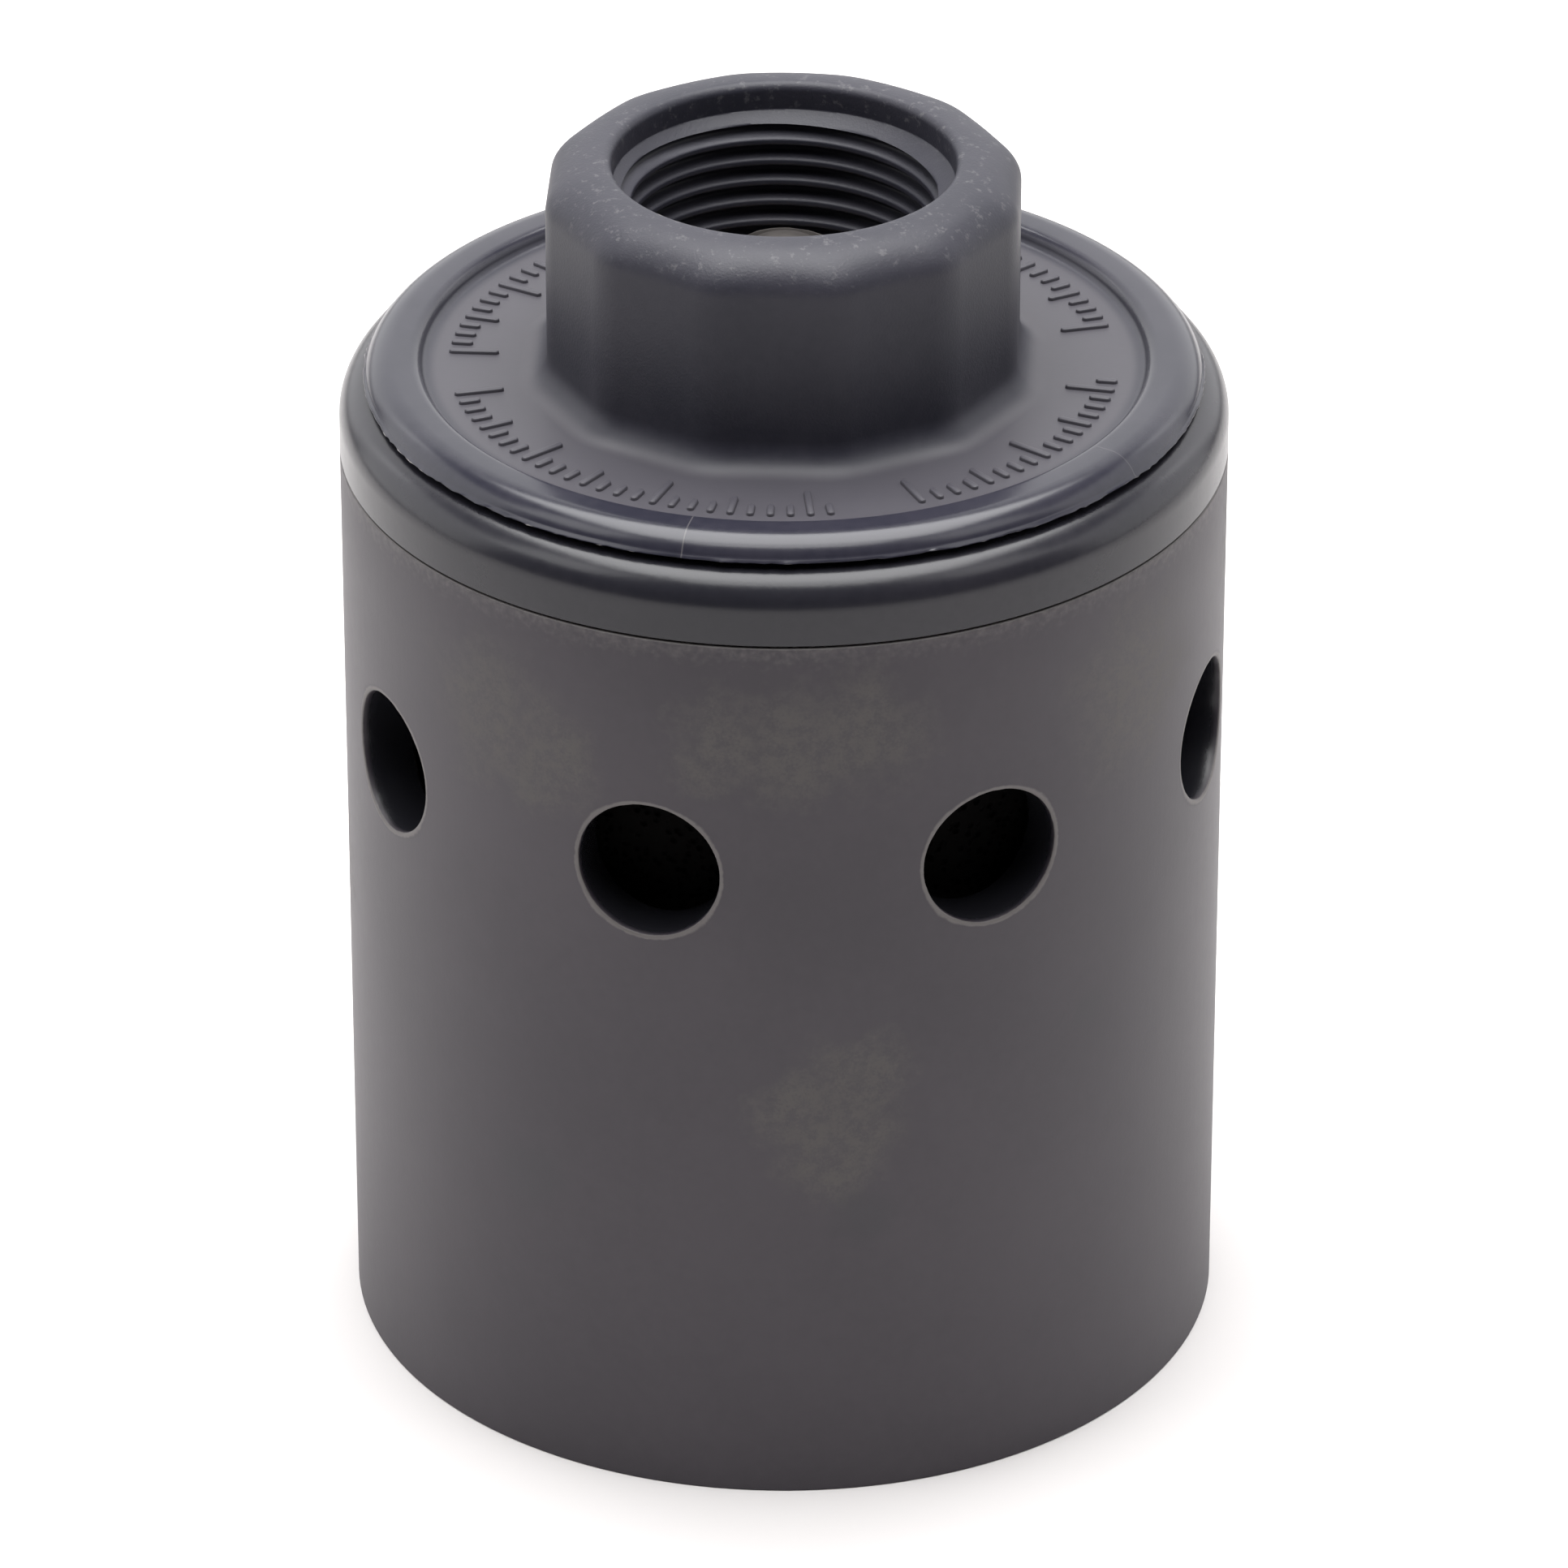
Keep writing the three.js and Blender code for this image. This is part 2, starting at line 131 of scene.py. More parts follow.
class Paint:
    # a material with its principled shader, and one way to add any other node
    def __init__(self, name, **constants):
        self.material = bpy.data.materials.new(name)
        self.material.use_nodes = True
        self.tree = self.material.node_tree
        self.shader = self.tree.nodes["Principled BSDF"]
        for socket, value in constants.items():
            self.shader.inputs[socket.replace("_", " ")].default_value = value
        self.place = self.add("ShaderNodeTexCoord", {}, {}, "Object")

    def add(self, kind, settings, inputs, output=0):
        node = self.tree.nodes.new(kind)
        for key, value in settings.items():
            setattr(node, key, value)
        for key, value in inputs.items():
            self.feed(node.inputs[key], value)
        return Wire(self, node.outputs[output])

    def feed(self, socket, value):
        if isinstance(value, Wire):
            self.tree.links.new(value.socket, socket)
        elif socket.type == "RGBA":
            socket.default_value = (*value, 1)
        else:
            socket.default_value = value

    def set(self, socket, value):
        self.feed(self.shader.inputs[socket], value)

    def noise(self, scale, detail=3, roughness=0.5, at=None, distortion=0.0):
        inputs = {"Vector": at or self.place, "Scale": scale, "Detail": detail}
        inputs.update({"Roughness": roughness, "Distortion": distortion})
        return self.add("ShaderNodeTexNoise", {}, inputs)

    def cells(self, scale):
        inputs = {"Vector": self.place, "Scale": scale}
        return self.add("ShaderNodeTexVoronoi", {}, inputs, "Distance")

    def stretch(self, scale):
        return self.add("ShaderNodeMapping", {}, {"Vector": self.place, "Scale": scale})

    def mix(self, factor, first, second):
        return self.add("ShaderNodeMix", {"data_type": "RGBA"}, {0: factor, 6: first, 7: second}, 2)

    def vectorMaths(self, operation, first, second=(0, 0, 0), output="Value"):
        return self.add("ShaderNodeVectorMath", {"operation": operation}, {0: first, 1: second}, output)

    def height(self):
        return self.add("ShaderNodeSeparateXYZ", {}, {0: self.place}, "Z")

    def fromAxis(self):
        return self.vectorMaths("LENGTH", self.vectorMaths("MULTIPLY", self.place, (1, 1, 0), "Vector"))

    def along(self, turn):
        # how far out a place lies in the direction of a turn round the axis
        return self.vectorMaths("DOT_PRODUCT", self.place, (math.cos(turn), math.sin(turn), 0))

    def spots(self, places, radius, softness, wobble):
        # 1 inside rough-edged spots on a round wall, 0 outside them; each is (turn, height, size)
        strongest = None
        for turn, height, size in places:
            angle, reach = math.radians(turn), size * mm
            centre = (radius * mm * math.cos(angle), radius * mm * math.sin(angle), height * mm)
            away = self.vectorMaths("DISTANCE", self.place, centre)
            spot = 1 - (away + wobble).step(reach * (1 - softness), reach * (1 + softness))
            strongest = strongest.higher(spot) if strongest else spot
        return strongest

    def attribute(self, name):
        return self.add("ShaderNodeAttribute", {"attribute_name": name}, {}, "Fac")

    def bump(self, height, strength, distance):
        inputs = {"Height": height, "Strength": strength, "Distance": distance}
        self.set("Normal", self.add("ShaderNodeBump", {}, inputs))


# finishes: colours are linear, and the pairs of lengths say where a change starts and ends, in metres
pipeFinish = {
    "dark": (0.0255, 0.0205, 0.0280),
    "light": (0.0355, 0.0290, 0.0375),
    "chalk": (0.074, 0.068, 0.064),
    "smudge": (0.022, 0.021, 0.027),
    # cut: painted shade, a darker colour inside the bore and on the walls of the holes
    "cut": (0.011, 0.011, 0.014),
    "burr": (0.14, 0.13, 0.125),
    "insideShadeDepth": (0.0436, 0.0443),  # from the inside, darkened as painted shade, to the drawn outside
    # pale worn patches and small dark smudges: turn in degrees, height and radius in millimetres
    "chalkSpots": [
        (-63, 87, 5.5), (-72, 86, 5.5), (-79, 86.5, 4.5), (-112, 84, 7), (-104, 80, 5.5),
        (-62, 48.5, 4.5), (-66, 41, 5), (-70, 44, 4), (-21, 84, 8), (20, 88, 9),
        (75, 60, 9), (160, 84, 10), (118, 30, 8), (-165, 50, 8),
    ],
    "darkSpots": [(-107.7, 33, 3.4), (-61.6, 31.9, 2.6), (-30.3, 49.5, 1.8), (40, 40, 3), (150, 60, 2.5)],
}


def pipePlastic():
    paint = Paint("pipePlastic", IOR=1.5)
    cloud = paint.noise(26, 5, 0.6)
    fine = paint.noise(700, 3, 0.6)
    speck = paint.noise(3200, 2, 0.6)
    tone = (cloud * 0.75 + fine * 0.25).step(0.34, 0.66)
    colour = paint.mix(tone, pipeFinish["dark"], pipeFinish["light"])
    wobble = (paint.noise(130, 5, 0.7) - 0.5) * 0.014
    grain = (fine * 0.6 + speck * 0.4).step(0.36, 0.62)
    chalk = paint.spots(pipeFinish["chalkSpots"], pipeRadius, 0.55, wobble) * (0.2 + 0.8 * grain)
    colour = paint.mix(chalk * 0.8, colour, pipeFinish["chalk"])
    smudge = paint.spots(pipeFinish["darkSpots"], pipeRadius, 0.5, wobble * 0.5)
    colour = paint.mix(smudge * 0.45, colour, pipeFinish["smudge"])
    # painted shade: the bore and the walls of the holes are darkened inside the tube
    inside = 1 - paint.fromAxis().step(*pipeFinish["insideShadeDepth"])
    colour = paint.mix(inside, colour, pipeFinish["cut"])
    edge = paint.attribute("edge")
    rough = (edge * (0.55 + paint.noise(1500, 2) * 0.9)).step(0.35, 0.8)
    colour = paint.mix(rough * 0.7, colour, pipeFinish["burr"])
    paint.set("Base Color", colour)
    paint.set("Roughness", 0.44 + 0.14 * chalk + 0.06 * fine + 0.1 * edge - 0.22 * inside)
    drawn = paint.noise(1, 3, 0.6, at=paint.stretch((900, 900, 40)))
    paint.bump(fine * 0.4 + speck * 0.3 + drawn * 0.3, 0.10, 0.0002)
    return paint.material


capFinish = {
    "dark": (0.018, 0.018, 0.028),
    "light": (0.026, 0.025, 0.036),
    # face: painted light, a lighter colour on the flat face where light from above falls
    "face": (0.062, 0.058, 0.068),
    "flash": (0.26, 0.245, 0.235),
    # painted highlight: pale glinting flecks on the crown of the boss
    "paintedGlint": (0.15, 0.145, 0.15),
    "litFaceHeight": (0.1053, 0.1062),
    "litFaceRadius": (0.0345, 0.0358),
    "bossHeight": (0.1066, 0.111),
    "crownHeight": (0.1235, 0.1265),
    "glossRadius": (0.0352, 0.0368),  # matt inside, glossy on the bead outside
    # fine lines across the bead where mould parts met: turn in degrees and strength
    "witness": [(-86.1, 0.22), (-17.2, 0.1), (96, 0.15)],
    "witnessWidth": (0.00003, 0.0001),
    "witnessRadius": (0.0366, 0.0372),
    # small pale knocks on the lip of the mouth: turn, height and size
    "nicks": [(-115.8, 127.6, 0.3), (-28.5, 127.6, 0.25)],
    "lipRadius": 17.4,
}


def capPlastic():
    paint = Paint("capPlastic", IOR=1.47)
    cloud = paint.noise(60, 4, 0.6)
    fine = paint.noise(800, 3, 0.6)
    grit = paint.noise(3600, 2, 0.6)
    height, away = paint.height(), paint.fromAxis()
    tone = (cloud * 0.7 + fine * 0.3).step(0.36, 0.64)
    colour = paint.mix(tone, capFinish["dark"], capFinish["light"])
    # painted light: the flat face is lightened for the light it catches from above
    face = (1 - height.step(*capFinish["litFaceHeight"])) * (1 - away.step(*capFinish["litFaceRadius"]))
    colour = paint.mix(face * 0.7, colour, capFinish["face"])
    # painted highlight: pale flecks on the crown stand in for glints of light
    paintedGlint = (grit * 0.35 + paint.noise(1100, 2) * 0.65).step(0.55, 0.68)
    crown = height.step(*capFinish["crownHeight"])
    colour = paint.mix(crown * paintedGlint * 0.35, colour, capFinish["paintedGlint"])
    for turn, strength in capFinish["witness"]:
        angle = math.radians(turn)
        narrow = 1 - paint.along(angle + math.pi / 2).size().step(*capFinish["witnessWidth"])
        line = narrow * paint.along(angle).step(*capFinish["witnessRadius"])
        colour = paint.mix(line * strength, colour, capFinish["flash"])
    nicks = paint.spots(capFinish["nicks"], capFinish["lipRadius"], 0.4, (fine - 0.5) * 0.0004)
    colour = paint.mix(nicks * 0.6, colour, capFinish["flash"])
    edge = paint.attribute("edge")
    flash = (edge * (0.4 + paint.noise(1800, 3, 0.6) * 1.1)).step(0.5, 0.9)
    colour = paint.mix(flash * 0.85, colour, capFinish["flash"])
    paint.set("Base Color", colour)
    matt = 1 - away.step(*capFinish["glossRadius"])
    paint.set("Roughness", 0.2 + 0.28 * matt + 0.06 * fine + 0.25 * flash)
    boss = height.step(*capFinish["bossHeight"])
    paint.bump(fine * 0.3 + grit * (0.25 + 0.75 * boss), 0.12 + 0.12 * boss, 0.00012)
    return paint.material


collarFinish = {"dark": (0.014, 0.014, 0.019), "light": (0.020, 0.019, 0.025), "rim": (0.17, 0.16, 0.155)}


def collarPlastic(name):
    paint = Paint(name, IOR=1.45)
    cloud = paint.noise(26, 3, 0.5)
    fine = paint.noise(800, 3, 0.6)
    tone = (cloud * 0.75 + fine * 0.25).step(0.36, 0.64)
    colour = paint.mix(tone, collarFinish["dark"], collarFinish["light"])
    rim = paint.attribute("edge").step(0.3, 0.9) * 0.5
    paint.set("Base Color", paint.mix(rim, colour, collarFinish["rim"]))
    paint.set("Roughness", 0.2 + 0.06 * fine + 0.05 * cloud)
    paint.bump(fine * 0.6 + paint.noise(3000, 2) * 0.4, 0.10, 0.00015)
    return paint.material


def metal(name, colour, stain, roughness, turnedLines=1.0):
    paint = Paint(name, Metallic=1.0)
    lines = paint.noise(1, 2, 0.5, at=paint.stretch((60, 60, 5200)))
    patch = paint.noise(260, 3, 0.6)
    paint.set("Base Color", paint.mix(patch.step(0.45, 0.72) * 0.6, colour, stain))
    paint.set("Roughness", roughness + 0.12 * patch + 0.06 * lines)
    paint.bump(lines * turnedLines + paint.noise(1500, 2) * 0.3, 0.12, 0.0001)
    return paint.material


def moulded(name, colour, shade, roughness):
    paint = Paint(name, IOR=1.48, Subsurface_Weight=0.04)
    cloud = paint.noise(70, 3, 0.5)
    fine = paint.noise(900, 3, 0.6)
    paint.set("Base Color", paint.mix((cloud * 0.7 + fine * 0.3).step(0.36, 0.66), colour, shade))
    paint.set("Roughness", roughness + 0.1 * fine)
    paint.bump(fine, 0.15, 0.00015)
    return paint.material


def rubber(name, colour, bloom):
    paint = Paint(name, IOR=1.5)
    fine = paint.noise(1100, 3, 0.6)
    patch = paint.noise(160, 3, 0.6).step(0.5, 0.75)
    paint.set("Base Color", paint.mix(patch * 0.5, colour, bloom))
    paint.set("Roughness", 0.55 + 0.2 * fine)
    paint.bump(fine, 0.2, 0.0002)
    return paint.material


def openFoam(name, shadedPit, wall):
    paint = Paint(name, IOR=1.3, Specular_IOR_Level=0.08)
    # painted shade: the pores are coloured darker than the cell walls between them
    pores = paint.cells(1050).step(0.05, 0.5)
    paint.set("Base Color", paint.mix(pores, shadedPit, wall))
    paint.set("Roughness", 0.96 - 0.06 * pores)
    paint.bump(pores + paint.noise(300, 3) * 0.5, 0.9, 0.0006)
    return paint.material


def felt(name, dark, light):
    paint = Paint(name, IOR=1.35)
    fibre = paint.noise(1, 4, 0.7, at=paint.stretch((1500, 1500, 400)), distortion=1.2)
    clump = paint.noise(240, 3, 0.6)
    paint.set("Base Color", paint.mix((fibre * 0.6 + clump * 0.4).step(0.35, 0.65), dark, light))
    paint.set("Roughness", 0.93 + 0.05 * fibre)
    paint.bump(fibre * 0.7 + clump * 0.3, 0.7, 0.0004)
    return paint.material


finishes = {
    "pipe": pipePlastic(),
    "cap": capPlastic(),
    "collar": collarPlastic("collarPlastic"),
    "base": collarPlastic("basePlastic"),
    "white": moulded("whiteAcetal", (0.62, 0.60, 0.55), (0.50, 0.48, 0.44), 0.38),
    "brass": metal("turnedBrass", (0.62, 0.44, 0.19), (0.40, 0.26, 0.11), 0.26),
    "dullSteel": metal("dullSteel", (0.085, 0.078, 0.075), (0.055, 0.05, 0.048), 0.6),
    "steel": metal("turnedSteel", (0.56, 0.56, 0.57), (0.36, 0.36, 0.38), 0.24),
    "wire": metal("springWire", (0.48, 0.48, 0.49), (0.30, 0.30, 0.31), 0.28, 0.2),
    "rubber": rubber("sealRubber", (0.012, 0.012, 0.013), (0.035, 0.034, 0.034)),
    "foam": openFoam("blackFoam", (0.0012, 0.0011, 0.0011), (0.0045, 0.0042, 0.0042)),
    "felt": felt("greyFelt", (0.07, 0.067, 0.063), (0.17, 0.165, 0.155)),
}
print("materials ready")


def smooth(mesh, sharp=sharpAngle):
    mesh.shade_smooth()
    mesh.set_sharp_from_angle(angle=math.radians(sharp))


def solid(work, name, finish=None, sharp=sharpAngle):
    # closes a working mesh and puts it in the scene as an object
    mesh = bpy.data.meshes.new(name)
    work.to_mesh(mesh)
    work.free()
    smooth(mesh, sharp)
    if finish:
        mesh.materials.append(finishes[finish])
    return linked(name, mesh)


class Skin:
    # collects rows of points into quads, then merges what meets; "edge" marks worn or rough edges
    def __init__(self):
        self.points, self.faces, self.edge = [], [], []
        self.count = 0

    def hold(self, row, edge=0.0):
        self.points.append(np.asarray(row, float))
        self.edge += list(np.broadcast_to(edge, len(row)))
        self.count += len(row)

    def rows(self, rows, edges=None, closed=True):
        width, start = len(rows[0]), self.count
        for row, edge in zip(rows, edges or [0.0] * len(rows)):
            self.hold(row, edge)
        here = np.arange(width if closed else width - 1)
        beside = (here + 1) % width
        for i in range(len(rows) - 1):
            low, high = start + i * width, start + (i + 1) * width
            self.faces += np.stack([low + here, low + beside, high + beside, high + here], 1).tolist()

    def close(self, row, centre):
        # fills a ring of points with triangles that meet at its centre
        width, start = len(row), self.count
        self.hold(row)
        self.hold([centre])
        self.faces += [[start + i, start + (i + 1) % width, start + width] for i in range(width)]

    def build(self, name, finish, sharp=sharpAngle):
        work = bmesh.new()
        edge = work.verts.layers.float.new("edge")
        made = []
        for spot, value in zip(np.concatenate(self.points) * mm, self.edge):
            vertex = work.verts.new(spot)
            vertex[edge] = value
            made.append(vertex)
        for face in self.faces:
            work.faces.new([made[i] for i in face])
        bmesh.ops.remove_doubles(work, verts=work.verts, dist=2e-6)
        bmesh.ops.recalc_face_normals(work, faces=work.faces)
        return solid(work, name, finish, sharp)


def ringAt(radius, z, angles):
    # a row of points round the axis; radius and height are one number, or one for each angle
    return np.stack([radius * np.cos(angles), radius * np.sin(angles), np.broadcast_to(z, len(angles))], 1)


def circle(radius, z, steps, start=0.0):
    return ringAt(radius, z, start + np.arange(steps) * full / steps)


def arc(centreR, centreZ, radius, first, last, steps):
    angles = np.radians(np.linspace(first, last, steps + 1))
    return [(centreR + radius * math.cos(a), centreZ + radius * math.sin(a)) for a in angles]


def softened(profile, rounding):
    # rounds every corner of a closed profile of (radius, z) points with a small arc
    count = len(profile)
    made = []
    for i in range(count):
        before, here, after = (Vector(profile[(i + k) % count]) for k in (-1, 0, 1))
        if here.x <= 1e-6:
            made.append(tuple(here))
            continue
        back, ahead = before - here, after - here
        reach = min(rounding, back.length * 0.4, ahead.length * 0.4)
        start, end = here + back.normalized() * reach, here + ahead.normalized() * reach
        for t in (0, 0.33, 0.67, 1):
            made.append(tuple((1 - t) ** 2 * start + 2 * t * (1 - t) * here + t * t * end))
    return made


def turnedPiece(name, profile, finish, rounding=0.15, steps=96):
    # turns a closed profile round the axis; points on the axis close the piece there
    skin = Skin()
    points = softened(profile, rounding)
    onAxis = [p for p in points if p[0] <= 1e-6]
    if onAxis:
        rings = [p for p in points if p[0] > 1e-6]
        rows = [circle(r, z, steps) for r, z in rings]
        skin.rows(rows)
        near, far = sorted(onAxis, key=lambda p: abs(p[1] - rings[0][1]))
        skin.close(rows[0], (0, 0, near[1]))
        skin.close(rows[-1], (0, 0, far[1]))
    else:
        skin.rows([circle(r, z, steps) for r, z in points + points[:1]])
    return skin.build(name, finish)


def settle(piece, body, slot, *nodes):
    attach(piece, body)
    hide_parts(*nodes)
    return piece


drilling = {
    "spread": (0, 0.02, 0.05, 0.12, 0.25, 0.42, 0.62, 0.82, 1),  # rows from a hole's edge to its square
    "worn": 0.05,  # share of that way over which the hole's edge looks worn
    "ripple": (3, 9, 1.7),  # round the hole, from hole to hole, and overall
}


def squareRound(across):
    # points round a square from its low left corner, with the angle at which each is seen from the middle
    side = np.linspace(-1, 1, across + 1)[:-1]
    low, right = [(t, -1) for t in side], [(1, t) for t in side]
    square = np.array(low + right + [(-x, -y) for x, y in low + right])
    return square, np.arctan2(square[:, 1], square[:, 0])


def drillBand(skin, radius, hole, band, across):
    # the wall between two heights round one row of holes, as quads that run out from each hole
    low, high = band
    half = full / hole["count"] / 2
    square, angle = squareRound(across)
    edgeTurn, edgeZ = square[:, 0] * half, (low + high) / 2 + square[:, 1] * (high - low) / 2
    reach = hole["radius"] + hole["soft"]
    holeTurn = np.arcsin(reach * np.cos(angle) / radius)
    holeZ = hole["height"] + reach * np.sin(angle)
    for i in range(hole["count"]):
        middle = hole["start"] + i * half * 2
        rows, edges = [], []
        for t in drilling["spread"]:
            turn = middle + holeTurn * (1 - t) + edgeTurn * t
            rows.append(ringAt(radius, holeZ * (1 - t) + edgeZ * t, turn))
            edges.append(max(0.0, 1 - t / drilling["worn"]))
        skin.rows(rows, edges)


def raggedness(angle, middle):
    roundHole, holeToHole, ripple = drilling["ripple"]
    spot = Vector((math.cos(angle) * roundHole, math.sin(angle) * roundHole, middle * holeToHole))
    return max(0, noise.noise(spot * ripple))


def drillWalls(skin, outer, inner, hole, across):
    # the walls of each hole through the tube, with a small broken edge at both ends
    angle = squareRound(across)[1]
    size, soft = hole["radius"], hole["soft"]
    brink = 0.35 * soft
    for i in range(hole["count"]):
        middle = hole["start"] + i * full / hole["count"]
        ragged = np.array([hole.get("ragged", 0.0) * raggedness(a, middle) for a in angle])
        steps = [(outer, size + soft), (outer - brink, size + brink - ragged), (outer - soft, size)]
        steps += [(outer * 0.7 + inner * 0.3, size), (inner + soft, size), (inner, size + soft)]
        rows = []
        for radius, reach in steps:
            y = reach * np.cos(angle)
            x = np.sqrt(radius * radius - y * y)
            turned = np.array([[math.cos(middle), -math.sin(middle)], [math.sin(middle), math.cos(middle)]])
            flat = turned @ np.stack([x, y])
            rows.append(np.stack([flat[0], flat[1], hole["height"] + reach * np.sin(angle)], 1))
        skin.rows(rows, [1.0, 0.9, 0.35, 0, 0, 0])


# pipe body
pipe = {
    "bore": 38.95,
    "top": 96.55,
    "soft": 0.12,
    "chamfer": 0.3,
    "across": 20,
    "band": (53.5, 88.1),
    "waist": 26,  # a row of points part-way down the plain wall
    "hole": {"count": 8, "radius": 7.25, "height": 70.8, "soft": 0.22, "start": 0.0, "ragged": 0.10},
    "groove": (2.2, 4.2, 40.6),
}


def pipeBody():
    skin = Skin()
    hole = pipe["hole"]
    steps = hole["count"] * pipe["across"]
    start = hole["start"] - full / hole["count"] / 2
    low, high = pipe["band"]
    outer, inner, soft = pipeRadius, pipe["bore"], pipe["soft"]
    top, waist, chamfer = pipe["top"], pipe["waist"], pipe["chamfer"]
    grooveLow, grooveHigh, grooveRadius = pipe["groove"]

    def plain(profile, edges):
        rows = [circle(r, z, steps, start) for r, z in profile]
        skin.rows(rows, edges + [0] * (len(rows) - len(edges)))

    drillBand(skin, outer, hole, pipe["band"], pipe["across"])
    drillBand(skin, inner, hole, pipe["band"], pipe["across"])
    drillWalls(skin, outer, inner, hole, pipe["across"])
    topEnd = [(outer, high), (outer, top - soft), (outer - soft, top)]
    plain(topEnd + [(inner + soft, top), (inner, top - soft), (inner, high)], [0, 0.5, 1])
    lowEnd = [(outer, low), (outer, waist), (outer, soft), (outer - soft, 0), (inner + chamfer, 0)]
    lowEnd += [(inner, chamfer), (inner, grooveLow), (grooveRadius, grooveLow), (grooveRadius, grooveHigh)]
    plain(lowEnd + [(inner, grooveHigh), (inner, waist), (inner, low)], [0, 0, 0.3, 0.6])
    return skin.build("pipeShell", "pipe")


settle(pipeBody(), "housing", "pipe_plastic", "body_tube")
print("pipe body ready")


# collar
collar = {
    "bottom": 96.70,
    "top": 103.85,
    "shoulder": 3.7,
    "soft": 0.16,
    "innerTop": 103.3,
    "ledge": 0.9,
    "drop": 0.5,
    "steps": 256,
}


def collarRing():
    outer, inner = pipeRadius, pipe["bore"]
    bottom, soft, shoulder = collar["bottom"], collar["soft"], collar["shoulder"]
    profile = [(inner, bottom), (outer - soft * 2.2, bottom), (outer - soft, bottom + 0.03)]
    profile += [(outer, bottom + soft)] + arc(outer - shoulder, collar["top"] - shoulder, shoulder, 0, 90, 18)
    profile += [(inner + collar["ledge"], collar["innerTop"]), (inner, collar["innerTop"] - collar["drop"])]
    profile += [(inner, bottom)]
    skin = Skin()
    edges = [0, 0.2, 1, 0.25] + [0] * (len(profile) - 4)
    skin.rows([circle(r, z, collar["steps"]) for r, z in profile], edges)
    return skin.build("collarRing", "collar")


settle(collarRing(), "housing", "moulded_plastic", "collar_ring")
print("collar ready")


# inlet cap
cap = {
    "steps": 384,
    "top": 127.7,
    "face": 105.2,
    "underside": 104.45,
    "bead": {"centre": 38.9, "radius": 3.05, "top": 106.65},
    "recess": {"brow": 1.2, "browCentre": 37.35, "foot": 0.7, "footCentre": 35.51, "slope": 72},
    "boss": {
        "apothem": 23.375,
        "sides": 12,
        "cornerRound": 7.0,
        "fillet": 3.0,
        "crown": 4.2,
        "crownEven": 0.7,  # how far the crown evens out from twelve-sided to round
    },
    "mouth": {"radius": 17.05, "lip": 0.9, "lipFlat": 0.1, "depth": 2.85, "countersink": 1.35},
    "thread": {
        "major": 16.55,
        "minor": 15.25,
        "pitch": 2.209,
        "taper": 1 / 32,
        "end": 107.4,
        "perTurn": 20,
        "phase": 0.53,
        "swell": 0.62,
        "sink": 0.08,
        "runOut": 2.2,
    },
    "inside": [
        (12.7, 106.0), (12.7, 101.0), (15.0, 101.0), (15.0, 94.0), (24.0, 94.0),
        (24.0, 101.5), (34.6, 101.5), (34.6, 86.0), (38.6, 86.0), (38.6, 104.45),
    ],
    "flash": {"radius": 41.86, "height": 104.58, "reach": 0.17, "ripple": 46, "slow": 5},
}


def bossOutline(angles):
    # radius of a twelve-sided outline with rounded corners, flats facing 15 degrees off the axes
    boss = cap["boss"]
    halfSide = math.pi / boss["sides"]
    apothem, soft = boss["apothem"], boss["cornerRound"]
    centre = (apothem - soft) / math.cos(halfSide)
    tangent = math.atan((apothem - soft) * math.tan(halfSide) / apothem)
    turn = np.mod(angles, 2 * halfSide) - halfSide
    away = halfSide - np.abs(turn)
    flat = apothem / np.cos(turn)
    rounded = centre * np.cos(away) + np.sqrt(np.maximum(soft**2 - (centre * np.sin(away)) ** 2, 0))
    return np.where(np.abs(turn) < tangent, flat, rounded)


def threadRadius(angles, z):
    # the ridges run up anticlockwise round the bore, under a countersink, and fade out at the bottom
    thread, mouth = cap["thread"], cap["mouth"]
    top = cap["top"] - mouth["depth"]
    phase = z / thread["pitch"] - angles / full + thread["phase"]
    ridge = np.clip(thread["swell"] * (1 - np.cos(full * phase)) - thread["sink"], 0, 1)
    fade = np.clip((z - thread["end"]) / thread["runOut"], 0, 1)
    cut = (thread["major"] - thread["minor"]) * (1 - ridge) * fade
    body = thread["minor"] + cut - (top - z) * thread["taper"]
    return np.maximum(body, mouth["radius"] - (top - z) * mouth["countersink"])


def threadWall(skin):
    # rows that climb with the thread, flattened where they pass its top and bottom
    thread = cap["thread"]
    low, high = thread["end"], cap["top"] - cap["mouth"]["depth"]
    angles = np.arange(cap["steps"] + 1) * full / cap["steps"]
    rise = thread["pitch"] / thread["perTurn"]
    rows = []
    for i in range(int((high - low + thread["pitch"]) / rise) + 2):
        climb = low - thread["pitch"] + i * rise + thread["pitch"] * angles / full
        z = np.clip(climb, low, high)
        rows.append(ringAt(threadRadius(angles, z), z, angles))
    skin.rows(rows, closed=False)


